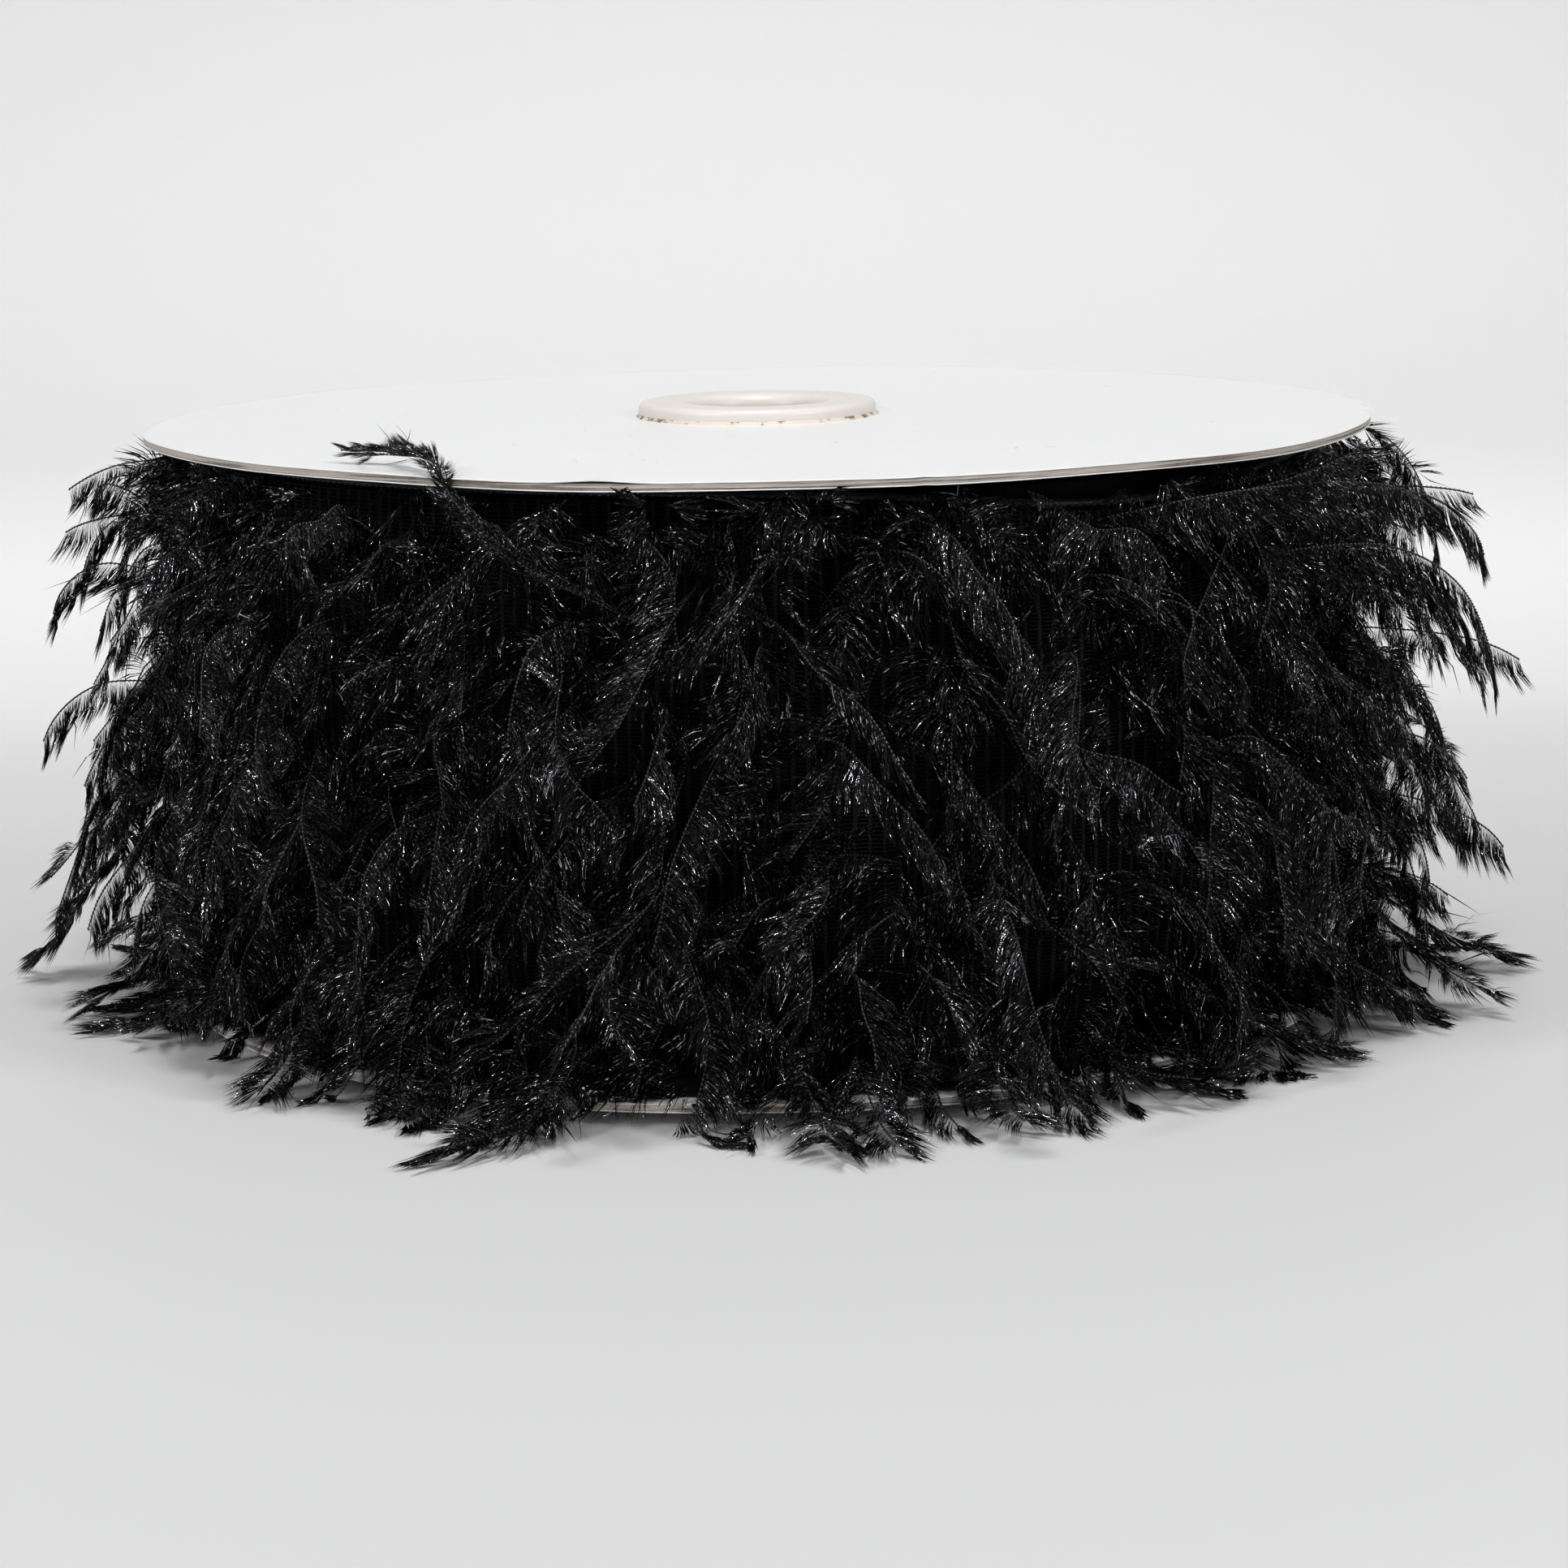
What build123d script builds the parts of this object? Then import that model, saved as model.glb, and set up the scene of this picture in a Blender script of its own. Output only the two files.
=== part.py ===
"""Black feather-yarn boa trim wound on a card ribbon spool that lies on its flange.

Millimetres, +Z up along the spool's axis, origin on the axis in the plane of the bottom hub's lip,
which is the face that the spool stands on.
"""

import os
from math import cos, radians, sin

from build123d import *

os.makedirs("parts", exist_ok=True)

# ---- Spool -------------------------------------------------------------------------------------
flange_diameter = 235.0      # 9 1/4 in card discs
greyboard = 1.1              # middle ply of each disc
paper = 0.2                  # white ply glued on each side of the greyboard
trim_width = 101.6           # 4 in trim
side_slack = 1.0             # the discs stand this much further apart than the trim is wide

rod_bore = 25.4              # 1 in dispenser rod
collar_wall = 1.6
lip_diameter = 46.0
lip_height = 2.8
lip_round = 1.2
sleeve_diameter = 37.8
sleeve_wall = 1.7
sleeve_depth = 16.0          # how far a hub reaches in from the face of its disc
rib_count = 6
rib_thickness = 1.5
glue_bead = 0.6              # bead of hot glue in the corner under each lip

tube_bore = 38.0
tube_wall = 3.0

# ---- Trim --------------------------------------------------------------------------------------
tape_thickness = 0.9         # knitted net ground that carries the plumes
turns = 11
pitch = 7.77                 # one turn of tape with its flattened plumes: 5 yd in 11 turns
layer_clearance = 0.3
edge_cord = 2.4              # corded edge knitted along each side of the tape
start_tape_thickness = 0.1   # sticky tape that holds the first turn to the tube
start_tape_height = 25.0
start_tape_angle = 80.0

# ---- Plumes of the outer turn ------------------------------------------------------------------
plume_rows = 6
plumes_in_row = 32
plume_width = 9.5
plume_root_width = 6.0
plume_root_thickness = 3.0
plume_drop = 38.0            # how far a free plume hangs below its root
plume_reach_radius = 144.0   # radius of the tips of the hanging rows
floor_reach_radius = 148.0   # radius of the tips that splay along the floor
floor_gap = 0.6

# ---- Heights that follow -----------------------------------------------------------------------
flange_thickness = greyboard + 2 * paper
bottom_flange_z = lip_height
trim_floor_z = bottom_flange_z + flange_thickness
trim_roof_z = trim_floor_z + trim_width + side_slack
top_flange_z = trim_roof_z
top_face_z = top_flange_z + flange_thickness
overall_height = top_face_z + lip_height
middle = Plane.XY.offset(overall_height / 2)

tube_radius = tube_bore / 2 + tube_wall
cord_overhang = (edge_cord - tape_thickness) / 2
tape_start_radius = tube_radius + layer_clearance + cord_overhang
tape_bottom_z = trim_floor_z + side_slack / 2
ground_bottom_z = tape_bottom_z + edge_cord
ground_height = trim_width - 2 * edge_cord

print(f"overall height {overall_height:.1f}, flange {flange_diameter:.1f}")


# ---- Card flanges: greyboard with a white ply on each side -------------------------------------
# Each row: name, height of its lower face, thickness.
plies = (
    ("bottom_flange_face_paper", bottom_flange_z, paper),
    ("bottom_flange_board", bottom_flange_z + paper, greyboard),
    ("bottom_flange_liner", bottom_flange_z + paper + greyboard, paper),
    ("top_flange_liner", top_flange_z, paper),
    ("top_flange_board", top_flange_z + paper, greyboard),
    ("top_flange_face_paper", top_flange_z + paper + greyboard, paper),
)
for name, height, thickness in plies:
    with BuildPart() as ply:
        with BuildSketch(Plane.XY.offset(height)):
            Circle(flange_diameter / 2)
            Circle(tube_bore / 2, mode=Mode.SUBTRACT)
        extrude(amount=thickness)
    ply.part.label = name
    export_step(ply.part, f"parts/{name}.step")


# ---- Moulded hubs: a lip on the card, a sleeve in the tube and a collar for the rod -------------
sleeve_bottom_z = top_face_z - sleeve_depth
with BuildPart() as top_hub:
    with BuildSketch(Plane.XY.offset(top_face_z)):
        Circle(lip_diameter / 2)
        Circle(rod_bore / 2, mode=Mode.SUBTRACT)
    extrude(amount=lip_height)
    top_edges = top_hub.edges().filter_by(GeomType.CIRCLE).group_by(Axis.Z)[-1]
    fillet(top_edges.sort_by(SortBy.RADIUS)[-1], radius=lip_round)
    with BuildSketch(Plane.XY.offset(sleeve_bottom_z)):
        Circle(sleeve_diameter / 2)
        Circle(sleeve_diameter / 2 - sleeve_wall, mode=Mode.SUBTRACT)
    extrude(amount=sleeve_depth)
    with BuildSketch(Plane.XY.offset(sleeve_bottom_z)):
        Circle(rod_bore / 2 + collar_wall)
        Circle(rod_bore / 2, mode=Mode.SUBTRACT)
    extrude(amount=sleeve_depth)
    rib_inner = rod_bore / 2 + collar_wall / 2
    rib_outer = (sleeve_diameter - sleeve_wall) / 2
    with BuildSketch(Plane.XY.offset(sleeve_bottom_z)):
        with PolarLocations((rib_inner + rib_outer) / 2, rib_count):
            Rectangle(rib_outer - rib_inner, rib_thickness)
    extrude(amount=sleeve_depth)
top_hub.part.label = "top_hub"
export_step(top_hub.part, "parts/top_hub.step")

with BuildPart() as bottom_hub:
    add(mirror(top_hub.part, about=middle))
bottom_hub.part.label = "bottom_hub"
export_step(bottom_hub.part, "parts/bottom_hub.step")

lip_radius = lip_diameter / 2
with BuildPart() as top_glue_bead:
    with BuildSketch(Plane.XZ):
        with BuildLine():
            Polyline(
                (lip_radius, top_face_z),
                (lip_radius + glue_bead, top_face_z),
                (lip_radius, top_face_z + glue_bead),
                close=True,
            )
        make_face()
    revolve(axis=Axis.Z)
top_glue_bead.part.label = "top_glue_bead"
export_step(top_glue_bead.part, "parts/top_glue_bead.step")

with BuildPart() as bottom_glue_bead:
    add(mirror(top_glue_bead.part, about=middle))
bottom_glue_bead.part.label = "bottom_glue_bead"
export_step(bottom_glue_bead.part, "parts/bottom_glue_bead.step")


# ---- Paperboard tube between the discs, and the sticky tape that starts the wind -----------------
with BuildPart() as core_tube:
    with BuildSketch(Plane.XY.offset(trim_floor_z)):
        Circle(tube_radius)
        Circle(tube_bore / 2, mode=Mode.SUBTRACT)
    extrude(amount=trim_roof_z - trim_floor_z)
core_tube.part.label = "core_tube"
export_step(core_tube.part, "parts/core_tube.step")

with BuildPart() as start_tape:
    with BuildSketch(middle.offset(-start_tape_height / 2)):
        with BuildLine():
            outer = CenterArc((0, 0), tube_radius + start_tape_thickness, 0, start_tape_angle)
            inner = CenterArc((0, 0), tube_radius, 0, start_tape_angle)
            Line(inner @ 0, outer @ 0)
            Line(inner @ 1, outer @ 1)
        make_face()
    extrude(amount=start_tape_height)
start_tape.part.label = "start_tape"
export_step(start_tape.part, "parts/start_tape.step")


# ---- Wound trim ----------------------------------------------------------------------------------
def tape_radius(angle):
    """Radius of the tape's inner face after this many degrees of winding, on its semicircles."""
    into_half_turn = angle % 180
    start = tape_start_radius + pitch * (angle - into_half_turn) / 360
    return start + pitch / 4 * (1 - cos(radians(into_half_turn)))


def spiral_band(plane, height, inside, outside, turn_count):
    """A band that follows the wind: semicircles about two centres, a quarter of a pitch either side."""
    half_turns = 2 * turn_count
    with BuildPart() as band:
        with BuildSketch(plane):
            with BuildLine():
                for shift in (inside, outside):
                    for k in range(half_turns):
                        centre = -pitch / 4 if k % 2 == 0 else pitch / 4
                        radius = tape_radius(180 * k) + pitch / 4 + shift
                        CenterArc((centre, 0), radius, 180 * (k % 2), 180)
                end_radius = tape_radius(180 * half_turns)
                Line((tape_start_radius + inside, 0), (tape_start_radius + outside, 0))
                Line((end_radius + inside, 0), (end_radius + outside, 0))
            make_face()
        extrude(amount=height)
    return band


net_tape = spiral_band(Plane.XY.offset(ground_bottom_z), ground_height, 0, tape_thickness, turns)
net_tape.part.label = "net_tape"
export_step(net_tape.part, "parts/net_tape.step")
tape_length = net_tape.part.volume / (tape_thickness * ground_height)
print(f"tape length {tape_length / 1000:.3f} m, ground {ground_height:.1f} wide")

wound_plumes = spiral_band(
    Plane.XY.offset(ground_bottom_z),
    ground_height,
    tape_thickness + layer_clearance,
    pitch - layer_clearance,
    turns - 1,
)
wound_plumes.part.label = "wound_plumes"
export_step(wound_plumes.part, "parts/wound_plumes.step")

for name, height in (
    ("bottom_edge_cord", tape_bottom_z),
    ("top_edge_cord", ground_bottom_z + ground_height),
):
    cord = spiral_band(
        Plane.XY.offset(height), edge_cord, -cord_overhang, tape_thickness + cord_overhang, turns
    )
    cord.part.label = name
    export_step(cord.part, f"parts/{name}.step")


# ---- Loose plumes of the outer turn ----------------------------------------------------------------
def plume(root_radius, root_z, tip_radius, drop):
    """One plume in the XZ plane: a drooping blade, thick at its root, that ends in a point."""
    reach = tip_radius - root_radius
    half = plume_root_thickness / 2
    with BuildPart() as blade:
        with BuildSketch(Plane.XZ):
            with BuildLine():
                root_top = (root_radius, root_z + half)
                root_bottom = (root_radius, root_z - half)
                tip = (tip_radius, root_z - drop)
                upper_bend = (root_radius + 0.66 * reach, root_z - 0.20 * drop)
                lower_bend = (root_radius + 0.56 * reach, root_z - 0.26 * drop)
                ThreePointArc(root_top, upper_bend, tip)
                ThreePointArc(tip, lower_bend, root_bottom)
                Line(root_bottom, root_top)
            make_face()
        extrude(amount=plume_width, both=True)
        with BuildSketch(Plane.XY.offset(root_z - drop - half)):
            with BuildLine():
                root_left = (root_radius - half, plume_root_width / 2)
                root_right = (root_radius - half, -plume_root_width / 2)
                point = (tip_radius + half, 0)
                belly = root_radius + 0.5 * reach
                ThreePointArc(root_left, (belly, plume_width / 2), point)
                ThreePointArc(point, (belly, -plume_width / 2), root_right)
                Line(root_right, root_left)
            make_face()
        extrude(amount=drop + 4 * half, mode=Mode.INTERSECT)
    return blade


row_spacing = (trim_width - edge_cord) / plume_rows
first_row_z = trim_roof_z - edge_cord - row_spacing / 2
for row in range(plume_rows):
    root_z = first_row_z - row * row_spacing
    drop = min(plume_drop, root_z - floor_gap)
    rests = drop < plume_drop
    tip_radius = floor_reach_radius if rests else plume_reach_radius
    offset_angle = (row % 2) * 180 / plumes_in_row
    with BuildPart() as plume_row:
        for k in range(plumes_in_row):
            angle = offset_angle + 360 * k / plumes_in_row
            outer_turn = 360 * (turns - 1) + (angle or 360)
            root_radius = tape_radius(outer_turn) + tape_thickness + layer_clearance
            blade = plume(root_radius, root_z, tip_radius, drop)
            with Locations(Location((0, 0, 0), (0, 0, angle))):
                add(blade.part)
    name = f"plume_row_{row + 1}"
    plume_row.part.label = name
    export_step(plume_row.part, f"parts/{name}.step")
    print(f"{name}: root at {root_z:.1f}, drop {drop:.1f}, {len(plume_row.solids())} plumes")

# One plume of the top row lies over the edge of the upper disc.
over_edge_slot = 21.5        # half way between two plumes of the top row
over_edge_thickness = 1.0
over_edge_width = 7.0
direction = radians(360 * over_edge_slot / plumes_in_row)
radial_plane = Plane(
    origin=(0, 0, 0),
    x_dir=(cos(direction), sin(direction), 0),
    z_dir=(sin(direction), -cos(direction), 0),
)
edge_radius = flange_diameter / 2
lie_z = top_face_z + over_edge_thickness
with BuildPart() as over_edge_plume:
    with BuildSketch(radial_plane):
        with BuildLine() as path:
            FilletPolyline(
                (edge_radius - 12, lie_z),
                (edge_radius + 3.5, lie_z),
                (edge_radius + 3.5, trim_roof_z - 4),
                (edge_radius + 10, trim_roof_z - 18),
                radius=2.5,
            )
        trace(path.line, line_width=over_edge_thickness)
    extrude(amount=over_edge_width / 2, both=True)
over_edge_plume.part.label = "over_edge_plume"
export_step(over_edge_plume.part, "parts/over_edge_plume.step")
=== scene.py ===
# %% [markdown]
# # A spool of feather boa trim
#
# The piece is a roll of black boa trim: feather yarn plumes that are stitched to a knitted net tape, and
# the tape is wound between two white card discs. The design model already holds every size. This script
# gives each piece its real look, in metres, in the same frame as the design: the origin is on the spool's
# axis at the level it stands on, and +Z points up along the axis.
#
# A notebook like this is easiest to follow from top to bottom. Each step first says what the piece is.

# %% Load the fixed frame
import math

import bpy
import numpy as np
from mathutils import Matrix, Vector


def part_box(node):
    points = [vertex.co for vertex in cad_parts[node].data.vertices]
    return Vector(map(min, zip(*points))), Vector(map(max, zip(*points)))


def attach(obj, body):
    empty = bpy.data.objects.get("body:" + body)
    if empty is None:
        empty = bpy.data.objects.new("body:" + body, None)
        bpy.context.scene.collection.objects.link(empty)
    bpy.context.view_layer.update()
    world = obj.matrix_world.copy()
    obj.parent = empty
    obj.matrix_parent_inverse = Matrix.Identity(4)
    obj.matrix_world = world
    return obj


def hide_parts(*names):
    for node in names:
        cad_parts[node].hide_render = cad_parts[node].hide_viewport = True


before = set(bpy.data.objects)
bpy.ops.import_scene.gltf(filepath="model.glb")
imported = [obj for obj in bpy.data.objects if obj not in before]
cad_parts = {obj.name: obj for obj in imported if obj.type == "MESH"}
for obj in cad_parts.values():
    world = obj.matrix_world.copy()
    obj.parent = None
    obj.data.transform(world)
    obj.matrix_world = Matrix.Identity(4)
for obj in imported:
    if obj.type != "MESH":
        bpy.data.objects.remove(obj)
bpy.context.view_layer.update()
MM = 0.001

# %% [markdown]
# ## Sizes that the looks are built on
#
# Nothing is measured twice. The disc radius, the height of the plies and the radius of the wind are all
# read from the design's own boxes. The tape is a spiral of half turns, so its outer radius on the +X side
# is half a pitch more than on the -X side, and that difference gives the pitch.

# %% Read the driving sizes from the frame
DISC_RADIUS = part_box("top_flange_board")[1].x
TOP_FACE_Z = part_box("top_flange_face_paper")[1].z
ROOF_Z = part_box("top_flange_liner")[0].z
CARD_FLOOR_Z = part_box("bottom_flange_liner")[1].z
TAPE_LOW, TAPE_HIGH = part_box("net_tape")
CORD_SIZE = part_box("top_edge_cord")[1].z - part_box("top_edge_cord")[0].z
TUBE_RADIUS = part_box("core_tube")[1].x
TURN_PITCH = 2 * (TAPE_HIGH.x + TAPE_LOW.x)
TURNS = 11


def wind_radius(angle):
    """Outer radius of the wound tape at an angle round the spool, from 0 to a full turn."""
    return TAPE_HIGH.x - TURN_PITCH * (1 - (angle % math.tau) / math.tau)


print(f"disc radius {DISC_RADIUS:.4f}, pitch {TURN_PITCH:.5f}, roof {ROOF_Z:.4f}")

# %% [markdown]
# ## Camera, floor and light
#
# The spool is seen from a little above the upper disc, so that the disc shows as a thin ellipse and the
# plumes fill the view. A long lens keeps the two discs nearly parallel. The floor is a pale sweep that
# curves up behind the spool, so that no horizon shows.

# %% Camera
camera_data = bpy.data.cameras.new("studio_camera")
camera_data.lens = 78.4
camera = bpy.data.objects.new("studio_camera", camera_data)
bpy.context.scene.collection.objects.link(camera)
CAMERA_DISTANCE = 0.6642
CAMERA_ABOVE_DISC = 0.0602
PITCH_DOWN, TURN_RIGHT, ROLL = math.radians(11.37), math.radians(0.34), math.radians(-0.97)
camera.matrix_world = (
    Matrix.Translation((0, -CAMERA_DISTANCE, TOP_FACE_Z + CAMERA_ABOVE_DISC))
    @ Matrix.Rotation(-TURN_RIGHT, 4, "Z")
    @ Matrix.Rotation(math.pi / 2 - PITCH_DOWN, 4, "X")
    @ Matrix.Rotation(ROLL, 4, "Z")
)
bpy.context.scene.camera = camera
print(f"camera {CAMERA_DISTANCE} m from the axis, lens {camera_data.lens:.1f} mm")

# %% [markdown]
# ## Plain meshes and what every finished piece needs
#
# A mesh is a list of points and a list of faces that name them. Most pieces here are a grid of points,
# turned round the axis or laid along the tape, so one helper makes the faces of any grid. Another gives a
# finished piece its material, says which body it rides on and hides the design piece that it stands for.

# %% Helpers that make plain meshes and hand them over


def mesh_object(name, points, faces, edges=()):
    """A mesh object whose place is in its mesh."""
    mesh = bpy.data.meshes.new(name)
    mesh.from_pydata([tuple(p) for p in points], list(edges), list(faces))
    mesh.update()
    made = bpy.data.objects.new(name, mesh)
    bpy.context.scene.collection.objects.link(made)
    return made


def sheet_faces(rows, columns, closed=False, looped=False):
    """Quads over a grid of points. Closed joins the last column to the first, looped the last row."""
    faces = []
    for r in range(rows if looped else rows - 1):
        here, there = r * columns, (r + 1) % rows * columns
        for c in range(columns if closed else columns - 1):
            right = (c + 1) % columns
            faces.append((here + c, here + right, there + right, there + c))
    return faces


def around(turn):
    """The direction away from the axis at an angle round the spool, in radians."""
    return Vector((math.cos(turn), math.sin(turn), 0))


def numbered(made, name, kind, domain, values):
    """Stores one value on each point or face of a mesh under a name."""
    attribute = made.data.attributes.new(name, kind, domain)
    attribute.data.foreach_set("vector" if kind == "FLOAT_VECTOR" else "value", values)


def hand_over(piece, node=None, finish=None):
    """Gives a finished piece its material, puts it on the root body and hides its design node. Returns the
    piece.
    """
    if finish:
        piece.data.materials.append(finish.material)
    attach(piece, "root")
    if node:
        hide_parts(node)
    return piece


# %% [markdown]
# ## The studio
#
# White goods are lit by a large soft lamp overhead and one at each side. A wide lamp over the backdrop and
# a narrow one over the floor behind the spool keep the background white. Their spread is small, so that
# they light the paper and not the card: seen this flat, the card mirrors whatever is bright behind it.

# %% Floor sweep and lights
SWEEP_START, SWEEP_RADIUS, SWEEP_TOP, SWEEP_HALF_WIDTH, SWEEP_FRONT = 1.1, 0.9, 3.2, 4.0, -3.5
profile = [(SWEEP_FRONT, 0.0), (SWEEP_START, 0.0)]
for step in range(1, 13):
    turn = step / 12 * math.pi / 2
    profile.append((SWEEP_START + SWEEP_RADIUS * math.sin(turn), SWEEP_RADIUS * (1 - math.cos(turn))))
profile.append((SWEEP_START + SWEEP_RADIUS, SWEEP_TOP))
sweep_points = [(x, y, z) for y, z in profile for x in (-SWEEP_HALF_WIDTH, SWEEP_HALF_WIDTH)]
sweep = mesh_object("floor_sweep", sweep_points, sheet_faces(len(profile), 2))
sweep.data.shade_smooth()


def soft_light(name, place, target, watts, width, depth=None, spread=180):
    """A softbox at a place, turned to face a target. Without a depth it is square."""
    data = bpy.data.lights.new(name, "AREA")
    data.size = width
    if depth:
        data.shape = "RECTANGLE"
        data.size_y = depth
    data.energy = watts
    data.spread = math.radians(spread)
    lamp = bpy.data.objects.new(name, data)
    lamp.location = place
    lamp.rotation_euler = (Vector(target) - Vector(place)).to_track_quat("-Z", "Y").to_euler()
    bpy.context.scene.collection.objects.link(lamp)
    return lamp


MIDDLE = (0, 0, 0.05)
soft_light("overhead_softbox", (0.0, -0.4, 1.5), MIDDLE, 13.4, 0.45)
soft_light("left_softbox", (-1.15, -0.95, 0.85), MIDDLE, 7.8, 0.24)
soft_light("right_softbox", (1.15, -0.95, 0.85), MIDDLE, 7.8, 0.24)
soft_light("backdrop_softbox", (0.0, 0.9, 2.3), (0.0, 1.5, 0.0), 8.6, 2.6, 0.8, 62)
soft_light("floor_softbox", (0.0, 0.42, 0.85), (0.0, 0.55, 0.0), 1.5, 1.6, 0.2, 80)
world = bpy.data.worlds.new("pale_studio")
bpy.context.scene.world = world
world.use_nodes = True
sky = world.node_tree.nodes["Background"].inputs
sky["Color"].default_value = (0.98, 0.99, 1.0, 1)
sky["Strength"].default_value = 0.2
world.cycles_visibility.glossy = False
bpy.context.scene.view_settings.view_transform = "Standard"
print("lamps:", len(bpy.data.lights))

# %% [markdown]
# ## Writing node maths as Python
#
# Node trees get long when every sum is three lines of links. A Wire wraps one output socket, and Python's
# own operators add the Math node for it, so `1 - mask * 0.3` reads as it would on paper. A Board is one
# node tree. Its node() method makes any other node from its type, its settings and what goes into its
# sockets. The same two classes serve materials and Geometry Nodes.

# %% Wires and boards


class Wire:
    """An output socket that + - * / work on. Vectors get Vector Math nodes, numbers get Math nodes."""

    def __init__(self, board, socket):
        self.board, self.socket = board, socket

    def is_vector(self):
        return self.socket.type == "VECTOR"

    def math(self, operation, *others):
        links = {0: self} | {i + 1: value for i, value in enumerate(others)}
        return self.board.node("ShaderNodeMath", {"operation": operation}, links)

    def vector(self, operation, *others):
        links = {0: self} | {i + 1: value for i, value in enumerate(others)}
        return self.board.node("ShaderNodeVectorMath", {"operation": operation}, links)

    def pair(self, operation, first, second):
        vectors = [isinstance(x, tuple) or (isinstance(x, Wire) and x.is_vector()) for x in (first, second)]
        if operation == "MULTIPLY" and vectors == [True, False]:
            links = {"Vector": first, "Scale": second}
            return self.board.node("ShaderNodeVectorMath", {"operation": "SCALE"}, links)
        if operation == "MULTIPLY" and vectors == [False, True]:
            return self.pair(operation, second, first)
        kind = "ShaderNodeVectorMath" if any(vectors) else "ShaderNodeMath"
        return self.board.node(kind, {"operation": operation}, {0: first, 1: second})

    def __add__(self, other):
        return self.pair("ADD", self, other)

    __radd__ = __add__

    def __sub__(self, other):
        return self.pair("SUBTRACT", self, other)

    def __rsub__(self, other):
        return self.pair("SUBTRACT", other, self)

    def __mul__(self, other):
        return self.pair("MULTIPLY", self, other)

    __rmul__ = __mul__

    def __truediv__(self, other):
        return self.pair("DIVIDE", self, other)

    def __rtruediv__(self, other):
        return self.pair("DIVIDE", other, self)

    def __neg__(self):
        return self.pair("MULTIPLY", self, -1.0)


class Board:
    """One node tree."""

    def __init__(self, tree):
        self.tree = tree

    def node(self, kind, settings=None, links=None, out=None):
        made = self.tree.nodes.new(kind)
        for name, value in (settings or {}).items():
            setattr(made, name, value)
        for key, value in (links or {}).items():
            self.feed(self.pick(made.inputs, key), value)
        return Wire(self, self.pick(made.outputs, 0 if out is None else out)) if made.outputs else made

    def pick(self, sockets, key):
        """The socket of a name or number among those that the node's settings leave in use."""
        live = [s for s in sockets if s.enabled]
        return live[key] if isinstance(key, int) else next(s for s in live if s.name == key)

    def feed(self, socket, value):
        if isinstance(value, Wire):
            self.tree.links.new(value.socket, socket)
        else:
            socket.default_value = value

    def sibling(self, wire, name):
        """Another output of the node that a wire comes from."""
        return Wire(self, wire.socket.node.outputs[name])

    def xyz(self, x=0.0, y=0.0, z=0.0):
        return self.node("ShaderNodeCombineXYZ", {}, {"X": x, "Y": y, "Z": z})

    def split(self, vector):
        """The X, Y and Z of a vector."""
        first = self.node("ShaderNodeSeparateXYZ", {}, {"Vector": vector})
        return [self.sibling(first, axis) for axis in "XYZ"]


def smooth(wire, low, high):
    """0 below low, 1 above high, and an even curve between."""
    settings = {"interpolation_type": "SMOOTHSTEP"}
    links = {"Value": wire, "From Min": low, "From Max": high}
    return wire.board.node("ShaderNodeMapRange", settings, links)


# %% [markdown]
# ## Finishes
#
# Every finish starts as a Principled shader. A constant is set on the shader's own socket. Only what
# changes over the surface is wired, and only into the colour, the roughness and the bump.

# %% A helper that starts a finish


class Finish(Board):
    """A material with one Principled shader."""

    def __init__(self, name, constants):
        self.material = bpy.data.materials.new(name)
        self.material.use_nodes = True
        super().__init__(self.material.node_tree)
        self.shader = self.tree.nodes["Principled BSDF"]
        for socket, value in constants.items():
            self.shader.inputs[socket].default_value = value

    def place(self, stretch=(1, 1, 1)):
        """Object coordinates, stretched along an axis."""
        where = self.node("ShaderNodeTexCoord", out="Object")
        return self.node("ShaderNodeMapping", {}, {"Vector": where, "Scale": stretch})

    def noise(self, where, scale, detail=2.0, roughness=0.5):
        links = {"Vector": where, "Scale": scale, "Detail": detail, "Roughness": roughness}
        return self.node("ShaderNodeTexNoise", {}, links)

    def blend(self, mask, first, second):
        """A colour that goes from first to second as mask goes from 0 to 1."""
        settings = {"data_type": "RGBA"}
        return self.node("ShaderNodeMix", settings, {"Factor": mask, "A": first, "B": second})

    def colour(self, wire):
        self.feed(self.shader.inputs["Base Color"], wire)

    def roughness(self, wire):
        self.feed(self.shader.inputs["Roughness"], wire)

    def attribute(self, name):
        return self.node("ShaderNodeAttribute", {"attribute_name": name}, out="Fac")

    def bump(self, height, distance, strength=1.0):
        links = {"Height": height, "Distance": distance, "Strength": strength}
        self.feed(self.shader.inputs["Normal"], self.node("ShaderNodeBump", {}, links))


def grey(value):
    return (value, value, value, 1.0)


# %% [markdown]
# ## Paper and card
#
# The floor is a roll of matt paper. The discs are greyboard with white coated paper on both faces. The
# coating is nearly even, so faint clouds, a few specks and hairline scratches are all that it shows. The
# pulp core is brown-grey and lies in thin layers, which only its cut edge shows, so its noise is stretched
# into layers.

# %% Floor finish
pale_floor = Finish("pale_floor", {"Roughness": 0.55, "Specular IOR Level": 0.2})
floor_tone = pale_floor.noise(pale_floor.place(), 1.5)
pale_floor.colour(pale_floor.blend(floor_tone, grey(0.685), grey(0.70)))
sweep.data.materials.append(pale_floor.material)

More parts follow.
